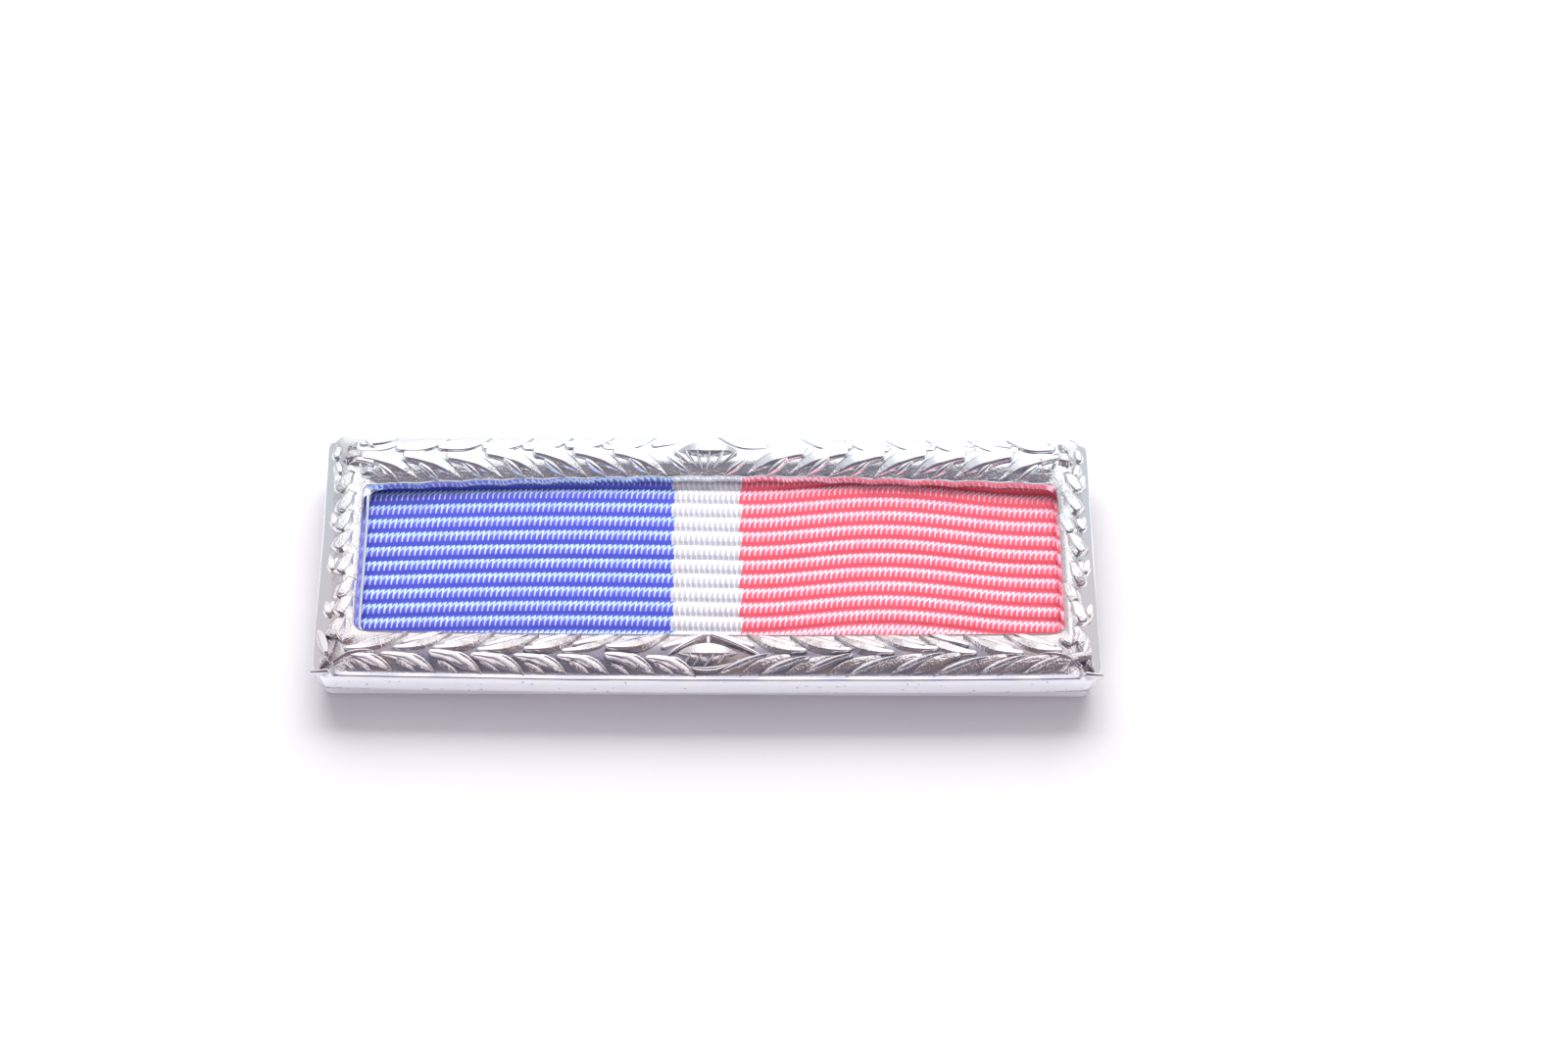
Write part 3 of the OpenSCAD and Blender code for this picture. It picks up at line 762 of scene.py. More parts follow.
def leaf_shapes(cast, leaf):
    """One leaf of each kind by name."""
    out = cast.long_rail / 2 - cast.bevel - cast.flat
    inner = 0.03 * MM - cast.long_rail / 2
    high = cast.crown + leaf.rise
    knuckle = 0.15 * MM
    long_reach = leaf.reach + leaf.lead / 2
    shapes = {}

    def crown(v):
        q = np.clip(v / np.where(v > 0, out, -inner), -1, 1)
        return cast.crown * (1 - q * q)

    def add(name, width, top, ground=crown, **more):
        shapes[name] = blade(name, line, leaf_width(t, *width), top, cast.bed_z, leaf.root, ground, **more)

    t, v, line = leaf_path(leaf.reach, knuckle, out, 2.3, 30)
    bent = eased((t - 0.4) / 0.3)
    add("outer_streaked", (0.36, 0.5, 0.6), (1 - bent) * high + bent * (crown(v) + 0.09 * MM),
        level=1 - bent, flat=0.35, across=19, grit=0.9 * bent, crease=0.7, ridges=(
            (0.12 * MM * between(t, 0.3, 0.2, 0.8, 0.2), -0.12, 0.24),
            (0.08 * MM * eased((t - 0.45) / 0.15), 0.62, 0.14),
        ), strokes=(
            (between(t, 0.0, 0.1, 0.72, 0.25), -0.12, 0.2),
            (0.8 * between(t, 0.4, 0.15, 0.9, 0.1), 0.62, 0.1),
            (0.7 * between(t, 0.3, 0.15, 0.6, 0.2), -0.62, 0.1),
        ))
    t, v, line = leaf_path(leaf.reach, knuckle, out, 1.5, 30)
    arch = np.sin(math.pi * t)
    add("outer_thin", (0.24, 0.5, 0.55), crown(v) + 0.13 * MM * (1 - 0.3 * t), level=0.3, flat=0.1, across=19,
        grit=0.9 * eased(t / 0.3), crease=0.85, ridges=((0.07 * MM * arch, 0.1, 0.2),),
        strokes=((0.9 * arch, 0.1, 0.2), (0.5 * arch, -0.55, 0.1)))
    add("outer_wide", (0.3, 0.6, 0.5), crown(v) + 0.05 * MM, level=0.1, flat=0.5, grit=0.8, crease=0.9)
    t, v, line = leaf_path(leaf.reach, 0.36 * MM, out, 1.8, 30)
    add("outer_plain", (0.42, 0.6, 0.5), crown(v) + 0.028 * MM, level=0.0, flat=0.0, grit=0.1 * t,
        crease=0.05)
    t, v, line = leaf_path(long_reach, -knuckle, inner, 2.0, 32)
    bent = eased((t - 0.25) / 0.3)
    add("inner_gritty", (0.42, 0.4, 0.55), crown(v) + 0.15 * MM, level=0.6, flat=0.45, across=19,
        grit=0.95 * bent, shingle=0.045 * MM * bent, crease=0.95 - 0.5 * bent)
    t, v, line = leaf_path(long_reach, -0.1 * MM, inner, 2.2, 32)
    fall = eased((t - 0.5) / 0.5)
    add("inner_bright", (0.44, 0.65, 0.45, 0.1), high * (1 - fall) + 0.14 * MM * fall, flat=0.66,
        grit=0.9 * eased((t - 0.7) / 0.15), crease=0.42)
    t, v, line = leaf_path(leaf.sprig_reach, 0.5 * MM, out, 1.2, 16)
    ridge = 0.08 * MM * np.sin(math.pi * np.clip(t * 0.9 + 0.1, 0, 1))
    add("out_sprig", (0.2, 0.6, 0.4), crown(v) + 0.05 * MM, level=0.0, flat=0.1, across=11, grit=0.9,
        ridges=((ridge, 0.0, 0.3),), strokes=((0.7 * np.sin(math.pi * t), 0.0, 0.2),))
    t, v, line = leaf_path(leaf.sprig_reach, -0.45 * MM, inner, 1.2, 16)
    add("in_sprig", (0.24, 0.7, 0.45), 0.36 * MM * (1 - t ** 2.5) + 0.08 * MM, across=11, grit=0.1)
    t, v, line = leaf_path(leaf.under_reach, 0.45 * MM, out, 0.9, 18)
    add("out_under", (0.24, 0.7, 0.5), crown(v) + 0.015 * MM, level=0.0, flat=0.1, across=11, grit=0.1,
        crease=0.05)
    t, v, line = leaf_path(leaf.under_reach, -0.4 * MM, inner, 0.9, 20)
    add("in_under", (0.3, 0.6, 0.6), crown(v) * (1 - 0.3 * t) + 0.12 * MM, level=0.5, flat=0.5, grit=0.25,
        shingle=0.04 * MM)
    t, v, line = leaf_path(1.25 * MM, 0.45 * MM, -0.1 * MM, 1.0, 18)
    add("side_lobe", (0.45, 0.8, 0.5, 0.6), 0.29 * MM * np.sin(math.pi * (0.15 + 0.75 * t)) ** 0.5,
        level_ground(0.08 * MM), flat=0.5, grit=0.5, crease=0.05)
    for name, spread in (("side_v_out", 0.86 * MM), ("side_v_in", 0.36 * MM)):
        t, v, line = leaf_path(0.85 * MM, 0.68 * MM, spread, 1.0, 14)
        add(name, (0.22, 0.7, 0.5), 0.03 * MM + 0.09 * MM * np.sin(math.pi * (0.12 + 0.8 * t)), slope_ground,
            flat=0.8, across=11, crease=0.0)
    return shapes


# Kind of leaf, the ends of the bar it grows to, its rail, how many, and how far behind the rail's first tip
# the row starts: None is a whole pitch.
LONG_ROWS = (
    ("outer_streaked", (-1,), -1, 8, 0.0),
    ("outer_thin", (1,), -1, 8, 0.0),
    ("out_sprig", (-1,), -1, 8, SPRIG_LAG),
    ("outer_wide", (1,), -1, 8, SPRIG_LAG),
    ("inner_gritty", (1, -1), -1, 7, None),
    ("in_under", (1, -1), -1, 8, UNDER_LAG),
    ("outer_plain", (1, -1), 1, 8, 0.0),
    ("inner_bright", (1, -1), 1, 7, None),
    ("out_under", (1, -1), 1, 8, UNDER_LAG),
    ("in_sprig", (1, -1), 1, 8, SPRIG_LAG),
)


def leaf_rows(cast, leaf, plate):
    """Every row of leaves and of small leaves, as plain meshes."""
    half_l = bar_half_length(cast)
    middle = FRAME_HIGH.y - cast.long_rail / 2
    short_rows = (
        ("side_lobe", 8, leaf.lobe_pitch, 4 * leaf.tilt),
        ("side_v_out", 4, leaf.side_pitch, leaf.tilt),
        ("side_v_in", 4, leaf.side_pitch, leaf.tilt),
    )
    shapes = leaf_shapes(cast, leaf)
    tree = row_tree()
    rows = []

    def add(kind, **values):
        seed = leaf.seed + len(rows) + 1
        rows.append(grown(f"row_{seed}", tree, {
            "Leaf": shapes[kind], "Half Length": half_l, "Grain": leaf.grain, "Tilt": leaf.tilt, "Seed": seed,
            "Material": plate, **{key.replace("_", " "): value for key, value in values.items()},
        }))

    for kind, sides, up, count, lag in LONG_ROWS:
        first = leaf.first_tip - (leaf.lead if kind.startswith("in") else 0.0)
        first += leaf.pitch if lag is None else lag
        for across in sides:
            sag = end_sag(cast, across) if kind in ("inner_bright", "in_sprig") else 0.0
            add(kind, Count=count, Pitch=leaf.pitch, First=first, Middle=middle, Bow=cast.bow + sag,
                Mirror=(across, up, 1.0), Inside_Out=across * up < 0)
    for across, rail in ((1, cast.right_rail), (-1, cast.left_rail)):
        place = (across * (half_l - (cast.slope_w + rail) / 2), middle - 1.1 * MM, 0)
        for kind, count, pitch, tilt in short_rows:
            add(kind, Count=count, Pitch=pitch, First=0.0, Middle=0.0, Bow=0.0, Mirror=(1.0, across, 1.0),
                Inside_Out=across < 0, Turn=-math.pi / 2, Tilt=tilt, Place=place)
    for obj in shapes.values():
        bpy.data.objects.remove(obj)
    return rows


def end_sag(cast, across):
    """How far the upper window edge hangs down at one end of the bar."""
    return cast.sag * (0.8 - 0.3 * across)


def bud(cast, leaf, side):
    """The closed bud at the middle of a long rail: a flat pointed dome and its folds."""
    cy = side * (FRAME_HIGH.y - cast.long_rail / 2)
    high = cast.crown + leaf.bud_rise * 0.5
    pieces = []

    def add(name, x, y, width, top, **more):
        line = np.stack([x, y], 1)
        pieces.append(blade(name, line, width, top, cast.bed_z, leaf.root, level_ground(0.0), **more))

    t = np.linspace(-1, 1, 44)
    width = leaf.bud_w / 2 * np.maximum(1 - np.abs(t) ** 1.7, 0.05) ** 0.9
    add("dome", t * leaf.bud_l / 2, cy + 0.12 * MM - 0.1 * MM * t * t, width,
        high * np.maximum(1 - 0.5 * np.abs(t) ** 2.5, 0.1), flat=0.4, across=27, grit=0.15, crease=1.0)
    q = np.linspace(0, 1, 18)
    width = 0.14 * MM * np.sin(math.pi * np.clip(0.12 + 0.85 * q, 0, 1)) ** 0.7
    start = cy - 0.12 * MM
    folds = UPPER_FOLDS
    if side < 0:
        folds = LOWER_FOLDS
        for start_x, end_x, end_y in ((-0.02, -1.75, -0.05), (0.14, 2.5, -0.15)):
            add("roof", MM * (start_x + (end_x - start_x) * q), cy + MM * (0.95 + (end_y - 0.95) * q ** 1.3),
                width, high * (1 - 0.2 * q), flat=0.4, across=11, grit=0.1)
    for k, shift, reach in folds:
        add("fold", MM * (k + shift * q), start - 0.85 * MM * q * reach, width,
            high * (1.0 - 0.68 * q ** 1.5 - 0.05 * k * k), flat=0.15, across=11, grit=0.4 * q)
    if side < 0:
        q = np.linspace(-1, 1, 26)
        width = 0.14 * MM * np.maximum(1 - np.abs(q) ** 3, 0.15)
        add("lip", 1.0 * MM * q + 0.2 * MM, start - 0.66 * MM + 0.2 * MM * q * q + 0.12 * MM * q, width,
            high * (0.6 - 0.08 * q * q), flat=0.3, across=11)
    return joined(f"bud_{side}", pieces)


def corners(cast, leaf):
    """The sprays in the corners: a smooth stem that ends in the rail's leaves, and the leaves beside it."""
    half_l = bar_half_length(cast)
    edge = edge_y(cast, half_l)
    rail = cast.long_rail / MM / 2
    q = np.linspace(0, 1, 22)
    swell = np.sin(math.pi * np.clip(0.06 + 0.9 * q, 0, 1)) ** 0.6
    pieces = []

    def spray(name, ends, width, crest, bend=(0.0, 0.0), grit=0.2, flat=0.25, drop=0.0, sides=13, crease=0.4):
        """A leaf of the corner, placed in millimetres from the bar's end and the long rail's edge."""
        (ax, ay), (bx, by) = ends
        x = ax + (bx - ax) * q + 4 * bend[0] * q * (1 - q)
        y = ay + (by - ay) * q + 4 * bend[1] * q * (1 - q)
        line = np.stack([across * (half_l - x * MM), up * (edge - y * MM)], 1)
        pieces.append(blade(name, line, width * MM, crest * MM + 0 * q, cast.bed_z - drop, leaf.root,
                            level_ground(0.0), flat=flat, across=sides, grit=grit, crease=crease))

    def lump(name, ends, half_w, rise, grit, power=0.4, **more):
        spray(name, ends, half_w * swell, rise * swell ** power, grit=grit, **more)

    for across in (1, -1):
        up = -1
        spray("spur", ((0.1 - cast.spur / MM, 0.2), (0.8, 0.3)), 0.05 + 0.08 * q, 0.02 + 0.05 * q, grit=0.0)
        # A thin low leaf with painted shade that draws a dark line between the slope and the stem.
        spray("groove", ((0.4, 0.45), (1.05, 1.9)), 0.035 + 0 * q, 0.14 + 0.06 * q, (0.12, -0.1), 1.0,
              crease=0.6)
        width = 0.16 + 0.24 * np.sin(math.pi * q * 0.8) - 0.12 * q ** 4
        crest = 0.16 + 0.34 * np.clip(q * 2.4, 0, 1) - 0.2 * q ** 6
        spray("stem", ((0.95, 0.62), (2.9, rail - 0.1)), width, crest, (-0.06, 0.14), 0.35, 0.0, sides=19,
              crease=0.7)
        if across < 0:
            spray("slope_leaf", ((0.66, 1.15), (0.2, 2.5)), 0.27 * swell, 0.34 - 0.14 * q, (0.06, 0.0), 0.0,
                  0.72, drop=0.12 * MM, crease=0.5)
        else:
            lump("slope_lump", ((0.85, 1.0), (0.62, 2.1)), 0.3, 0.3, 0.7, flat=0.4, crease=0.15)
        lump("knob", ((0.74, 0.75), (0.6, 1.0)), 0.11, 0.24, 0.3, 1)
        lump("knob", ((0.5, 0.7), (0.42, 0.9)), 0.08, 0.12, 0.3, 1)
        spray("eye_leaf", ((1.5, 0.75), (2.05, 0.28)), 0.13 * swell, 0.34 - 0.2 * q, grit=0.8)
        lump("pair", ((1.35, 1.75), (1.0, 2.5)), 0.2, 0.4, 0.4, 0.3)
        lump("pair", ((1.4, 1.7), (1.95, 2.05)), 0.2, 0.4, 0.4, 0.3)
        up = 1
        sag = end_sag(cast, across) / MM
        width = 0.06 + 0.2 * np.sin(math.pi * q * 0.6)
        spray("top_stem", ((0.95, 1.25 + sag), (2.3, 1.45 + sag * 0.85)), width, 0.12 + 0.38 * eased(q * 2.5),
              (0.0, -0.12), 0.1, 0.5, sides=15)
        spray("top_small", ((1.7, 1.85 + sag), (2.55, 1.9 + sag)), 0.15 * swell, 0.4 * swell - 0.1 * q,
              (0.0, -0.08), 0.05, 0.5)
        lump("top_lobe", ((0.95, 1.15), (1.4, 0.5)), 0.26, 0.4, 0.8)
        lump("top_lobe", ((1.0, 1.8), (1.2, 1.1)), 0.26, 0.42, 0.3)
        lump("top_lobe", ((1.8, 2.0), (1.35, 1.35)), 0.24, 0.42, 0.5)
        lump("top_lobe", ((2.3, 0.95), (1.75, 0.45)), 0.2, 0.36, 0.5)
        for ends in (((0.55, 0.75), (0.42, 1.5)), ((0.5, 1.65), (0.74, 2.4)), ((0.78, 2.55), (0.62, 3.3))):
            lump("top_knob", ends, 0.28, 0.18, 0.35, flat=0.5, crease=0.0)
        lump("top_lump", ((0.75, 1.55), (1.75, 1.25)), 0.42, 0.44, 0.9, flat=0.5, crease=0.0)
    return pieces


# Ribbon

COLUMNS_PER_THREAD = 6
ROWS_PER_RIB = 7
UNDER_ROWS = 17


def threads(nodes, x, y, rib_pitch, thread_pitch, lean):
    """Where a point lies in the weave.

    Gives the rib's number, b from -1 to 1 across the rib, the shift of an odd rib's threads, the thread's
    number on the rib, and a from -1 to 1 across the thread.
    """
    rib = nodes.over(y, rib_pitch)
    index = nodes.math("FLOOR", rib)
    b = nodes.scaled(nodes.minus(rib, index), 2.0, -1.0)
    odd = nodes.times(nodes.math("FLOORED_MODULO", index, 2.0), 0.5)
    thread = nodes.plus(nodes.over(x, thread_pitch), nodes.scaled(b, lean, odd))
    count = nodes.math("FLOOR", thread)
    a = nodes.scaled(nodes.minus(thread, count), 2.0, -1.0)
    return index, b, odd, count, a


def weave_tree():
    """Geometry Nodes: a flat grid of corded weave, ribs along X and threads over them along Y."""
    tree, given = geometry_tree("Corded Weave", {
        "Float": ["Length", "Width", "Rib Pitch", "Thread Pitch", "Rib Rise", "Thread Rise", "Lean"],
        "Int": ["Columns", "Rows", "Seed"], "Material": ["Material"],
    })
    times = tree.times
    grid = tree.first("GeometryNodeMeshGrid", Size_X=given["Length"], Size_Y=given["Width"],
                      Vertices_X=given["Columns"], Vertices_Y=given["Rows"])
    x, y, _ = tree.apart(tree.first("GeometryNodeInputPosition"))
    lean = times(given["Lean"], -0.5)
    index, b, _, count, a = threads(tree, x, y, given["Rib Pitch"], given["Thread Pitch"], lean)
    luck = tree.luck(tree.vector(count, index, given["Seed"]))
    arch = tree.math("POWER", tree.larger(tree.minus(1.0, times(b, b)), 0.0), 0.62)
    round_off = tree.minus(1.0, tree.math("POWER", tree.absolute(a), 2.6))
    high = times(times(arch, given["Rib Rise"]), tree.scaled(luck, 0.16, 0.92))
    strand = times(times(round_off, given["Thread Rise"]), tree.scaled(arch, 0.75, 0.25))
    lift = tree.vector(0.0, 0.0, tree.plus(high, strand))
    woven = tree.first("GeometryNodeSetPosition", Geometry=grid, Offset=lift)
    return closed_tree(tree, woven, given["Material"])


def hill(cloth, x):
    """How far the ribs arch up at x."""
    top, half = 8.5 * MM, 6.8 * MM
    dip = 0.12 * MM * np.cos(np.clip((x + 8 * MM) / (9 * MM), -1, 1) * math.pi / 2)
    return cloth.hill * (0.5 + 0.5 * np.cos(math.pi * np.clip((x - top) / half, -1, 1))) + dip


def laid(cloth, flat):
    """Lays points of the flat cloth, with their height over it, on the crowned form with its two folds."""
    x, v, h = flat[..., 0], flat[..., 1], flat[..., 2]
    straight = RIBBON_HIGH.y - cloth.fold_r
    past = np.maximum(np.abs(v) - straight, 0)
    turn = np.minimum(past / cloth.fold_r, math.pi / 2)
    down = np.maximum(past - cloth.fold_r * math.pi / 2, 0)
    radius = cloth.fold_r + h - cloth.rib_rise - cloth.thread_rise
    y = np.minimum(np.abs(v), straight) + radius * np.sin(turn)
    z = RIBBON_HIGH.z - cloth.crown - cloth.fold_r + radius * np.cos(turn) - down
    crown = cloth.crown * (1 - (x / RIBBON_HIGH.x) ** 2) * np.cos(turn)
    roll = cloth.roll * np.minimum(np.abs(v) / RIBBON_HIGH.y, 1) ** 4 * np.cos(turn)
    return np.stack([x, np.sign(v) * y, z + crown - roll], -1)


def cloth_faces(n, m, k):
    """Faces of a closed sheet: n columns of m upper points, then n columns of k lower ones."""
    base = n * m
    i, j = np.meshgrid(np.arange(n - 1), np.arange(m - 1), indexing="ij")
    a = (i * m + j).ravel()
    faces = np.stack([a, a + m, a + m + 1, a + 1], 1).tolist()
    i, j = np.meshgrid(np.arange(n - 1), np.arange(k - 1), indexing="ij")
    a = (base + i * k + j).ravel()
    faces += np.stack([a, a + 1, a + k + 1, a + k], 1).tolist()
    for i in range(n - 1):
        top, low = i * m, base + i * k
        faces.append([top, low, low + k, top + m])
        faces.append([top + m - 1, top + 2 * m - 1, low + 2 * k - 1, low + k - 1])
    faces.append([*range(m), *range(base + k - 1, base - 1, -1)])
    last, low = (n - 1) * m, base + (n - 1) * k
    faces.append([*range(last + m - 1, last - 1, -1), *range(low, low + k)])
    return faces


class RIBBONBAR_OT_ribbon(bpy.types.Operator):
    """Weaves the ribbon, lays it over the back and turns it down at its folds."""

    bl_idname = "ribbonbar.ribbon"
    bl_label = "Ribbon"

    def execute(self, context):
        cloth = settings()[2]
        silk = corded_silk(cloth)
        total_l = RIBBON_HIGH.x - RIBBON_LOW.x
        straight = RIBBON_HIGH.y - cloth.fold_r
        drop = RIBBON_HIGH.z - cloth.crown - cloth.fold_r - RIBBON_LOW.z
        flat_w = 2 * (straight + cloth.fold_r * math.pi / 2 + drop)
        columns = int(round(total_l / cloth.thread_pitch)) * COLUMNS_PER_THREAD + 1
        rows = int(round(flat_w / cloth.rib_pitch)) * ROWS_PER_RIB + 1
        flat = grown("ribbon_flat", weave_tree(), {
            "Length": total_l, "Width": flat_w, "Columns": columns, "Rows": rows, "Seed": 4,
            "Rib Pitch": cloth.rib_pitch, "Rib Rise": cloth.rib_rise, "Thread Pitch": cloth.thread_pitch,
            "Thread Rise": cloth.thread_rise, "Lean": cloth.thread_lean, "Material": silk,
        })
        top = points_of(flat.data).reshape(columns, rows, 3).astype(float)
        bpy.data.objects.remove(flat)
        under = np.zeros((columns, UNDER_ROWS, 3))
        under[:, :, 0] = top[:, :1, 0]
        under[:, :, 1] = np.linspace(-flat_w / 2, flat_w / 2, UNDER_ROWS)
        under[:, :, 2] = cloth.rib_rise + cloth.thread_rise - cloth.thickness
        arched = top.copy()
        fade = np.clip((straight + 0.3 * MM - np.abs(top[..., 1])) / (0.9 * MM), 0, 1)
        arched[..., 1] += hill(cloth, top[..., 0]) * fade
        points = np.concatenate([laid(cloth, side).reshape(-1, 3) for side in (arched, under)])
        made = new_object("ribbon_cloth", points, cloth_faces(columns, rows, UNDER_ROWS))
        self.map(made.data, np.concatenate([side[..., :2].reshape(-1, 2) for side in (top, under)]) / MM)
        made.data.materials.append(silk)
        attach(made, "root")
        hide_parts("ribbon")
        return {"FINISHED"}

    def map(self, mesh, places):
        """The pattern's own map: each point's place on the flat cloth, in millimetres."""
        layer = mesh.uv_layers.new(name="Weave")
        corner = np.zeros(len(mesh.loops), np.int32)
        mesh.loops.foreach_get("vertex_index", corner)
        layer.data.foreach_set("uv", places[corner].astype(np.float32).ravel())


# Back

class RIBBONBAR_OT_back(bpy.types.Operator):
    """Finishes the folded back that carries the ribbon."""

    bl_idname = "ribbonbar.back"
    bl_label = "Back"

    def execute(self, context):
        plate = rolled_plate()
        for slot in frame["nodes"]["slide_back"].material_slots:
            slot.material = plate
        return {"FINISHED"}


# Materials

# Painted reflection tint of the cast plate: warmer on the near rail, cooler on the far one.
NEAR_REFLECTION_TINT = (0.97, 0.925, 0.935, 1)
FAR_REFLECTION_TINT = (0.93, 0.965, 0.99, 1)
# Tarnish of the gritty pits, also used as painted shade low on the bed.
TARNISH_AND_SHADE = (0.43, 0.37, 0.35, 1)
# Colours of the painted shade in the casting's hollows: blue or brown, greyer on the far rail.
SHADE_BLUE = (0.18, 0.17, 0.235, 1)
SHADE_BROWN = (0.30, 0.23, 0.235, 1)
SHADE_FAR = (0.25, 0.275, 0.35, 1)
# Colour of the painted highlights along the leaves.
PAINTED_HIGHLIGHT = (0.97, 0.94, 0.95, 1)
# Painted shade in patches along the front lip.
FRONT_LIP_SHADE = (0.62, 0.62, 0.70, 1)
WALL_PLATE = (0.95, 0.96, 0.985, 1)
WALL_SPECK = (0.35, 0.35, 0.4, 1)
DULL_SHEET = (0.74, 0.71, 0.74, 1)
RUBBED_SHEET = (0.96, 0.93, 0.95, 1)
# Colours of the painted highlights on the threads.
BLUE_GLINT = (0.70, 0.74, 1.0, 1)
BLUE_ARCH_GLINT = (0.46, 0.84, 1.0, 1)
WHITE_GLINT = (0.97, 0.97, 1.0, 1)
RED_GLINT = (1.0, 0.72, 0.86, 1)
# Colours of the painted shade on the threads, between them and in the hollows between ribs.
WHITE_SHADE = (0.47, 0.465, 0.52, 1)
THREAD_SHADE = (0.04, 0.03, 0.2, 1)
BLUE_HOLLOW_SHADE = (0.03, 0.03, 0.3, 1)
RED_HOLLOW_SHADE = (0.5, 0.03, 0.1, 1)
GROUND = (0.69, 0.69, 0.71, 1)


def material(name):
    """A new node material, its nodes, and the inputs of its Principled BSDF."""
    made = bpy.data.materials.new(name)
    made.use_nodes = True
    return made, Nodes(made.node_tree), made.node_tree.nodes["Principled BSDF"].inputs


def grain_group():
    """Shader group: cast or rolled grain as a height, made once."""
    name = "Metal Grain"
    made = bpy.data.node_groups.get(name)
    if made:
        return made
    made = bpy.data.node_groups.new(name, "ShaderNodeTree")
    for key, kind in (("Vector", "Vector"), ("Fine", "Float"), ("Coarse", "Float")):
        made.interface.new_socket(key, in_out="INPUT", socket_type="NodeSocket" + kind)
    made.interface.new_socket("Height", in_out="OUTPUT", socket_type="NodeSocketFloat")
    nodes = Nodes(made)
    where, fine, coarse = nodes.node("NodeGroupInput").outputs[:3]
    small = nodes.times(nodes.noise(where, fine, 3.0), 0.4)
    nodes.node("NodeGroupOutput", i0=nodes.scaled(nodes.noise(where, coarse, 2.0), 0.6, small))
    return made


def grain(nodes, where, fine, coarse):
    """The height of the metal's grain in a material."""
    group = {"node_tree": grain_group()}
    return nodes.first("ShaderNodeGroup", group, Vector=where, Fine=fine, Coarse=coarse)


def cast_plate(cast):
    """Bright cast plate: mirror-like, with fine grain, coarse and browner where the casting is gritty; shade
    and highlights painted from the mesh's layer, shade painted low on the bed, and a warm to cool tint
    painted for the reflections.
    """
    made, nodes, surface = material("cast_plate")
    times, smooth, mix = nodes.times, nodes.smooth, nodes.mix
    where = nodes.node("ShaderNodeTexCoord").outputs["Object"]
    _, y, z = nodes.apart(where)
    over_bed = nodes.minus(z, cast.bed_z)
    rough = grain(nodes, where, 8500.0, 2600.0)
    grit = times(nodes.layer("grit"), smooth(nodes.noise(where, 1800.0, 1.0), 0.35, 0.6, 0.45, 1.0))
    crease = nodes.layer("crease")
    hue = nodes.noise(where, 420.0, 1.0)
    far = smooth(y, -2 * MM, 2 * MM)

    # Darker low on the bed, near the leaves' feet: painted shade in the hollows, with some tarnish; gritty
    # pitted patches are browner.
    deep = smooth(over_bed, 0.05 * MM, 0.42 * MM, 1.0, 0.0)
    deep = times(deep, smooth(over_bed, -0.02 * MM, 0.03 * MM, 0.0, 1.0))
    pits = smooth(rough, 0.42, 0.56, 1.0, 0.0)
    tarnish_and_shade = nodes.larger(times(deep, 0.2), times(grit, nodes.scaled(pits, 0.35, 0.3)))
    # Painted reflection tint: warmer on the near rail, cooler on the far one.
    plate = mix(smooth(y, -3 * MM, 3 * MM), NEAR_REFLECTION_TINT, FAR_REFLECTION_TINT)
    plate = mix(tarnish_and_shade, plate, TARNISH_AND_SHADE)

    # Painted shade where the shade layer is above nought, blue or brown at random, greyer and weaker on the
    # far rail; painted highlight where it is below nought.
    painted_highlight = smooth(times(crease, -1.0), 0.1, 0.8)
    dark = mix(far, mix(smooth(hue, 0.48, 0.66), SHADE_BLUE, SHADE_BROWN), SHADE_FAR)
    crease = smooth(nodes.scaled(far, -0.3, crease), 0.05, 0.95)
    plate = mix(times(crease, 0.9), plate, dark)
    plate = mix(painted_highlight, plate, PAINTED_HIGHLIGHT)

    # Painted shade in random patches along the front lip and the top of the front wall.
    front = smooth(y, FRAME_LOW.y + 0.42 * MM, FRAME_LOW.y + 0.55 * MM, 1.0, 0.0)
    front = times(times(front, smooth(over_bed, 0.0, 0.05 * MM, 1.0, 0.0)), smooth(hue, 0.4, 0.62, 0.35, 1.0))
    plate = mix(front, plate, FRONT_LIP_SHADE)

    outside = smooth(over_bed, -0.1 * MM, -0.03 * MM, 1.0, 0.0)
    outside = times(outside, smooth(nodes.absolute(y), 6.7 * MM, 6.8 * MM))
    speck = times(smooth(nodes.noise(where, 3600.0, 0.0), 0.75, 0.80), outside)
    plate = mix(outside, plate, WALL_PLATE)
    plate = mix(times(speck, 0.5), plate, WALL_SPECK)

    # Less metallic where shade or highlight is painted, so that the painted colour shows, and on the outer
    # walls.
    dull = nodes.larger(nodes.larger(times(crease, 0.45), times(outside, 0.75)), times(painted_highlight, 0.8))
    polish = nodes.plus(smooth(rough, 0.35, 0.65, 0.07, 0.15), times(outside, 0.34))
    sand = nodes.bump(nodes.scaled(grit, 0.95, 0.05), 0.05 * MM, nodes.noise(where, 9500.0, 1.5))
    nodes.wire(surface, Base_Color=plate, Metallic=nodes.minus(1.0, dull),
               Roughness=nodes.scaled(grit, 0.16, polish), Normal=sand)
    return made


def rolled_plate():
    """Dull rolled sheet with drawn lines and rubbed patches."""
    made, nodes, surface = material("rolled_plate")
    where = nodes.node("ShaderNodeTexCoord").outputs["Object"]
    drawn = nodes.first("ShaderNodeMapping", Vector=where, Scale=(0.15, 1.0, 1.0))
    rough = grain(nodes, drawn, 9000.0, 900.0)
    nodes.wire(surface, Base_Color=nodes.mix(rough, DULL_SHEET, RUBBED_SHEET), Metallic=0.6,
               Roughness=nodes.smooth(rough, 0.3, 0.7, 0.38, 0.6), Normal=nodes.bump(0.4, 0.01 * MM, rough))
    return made


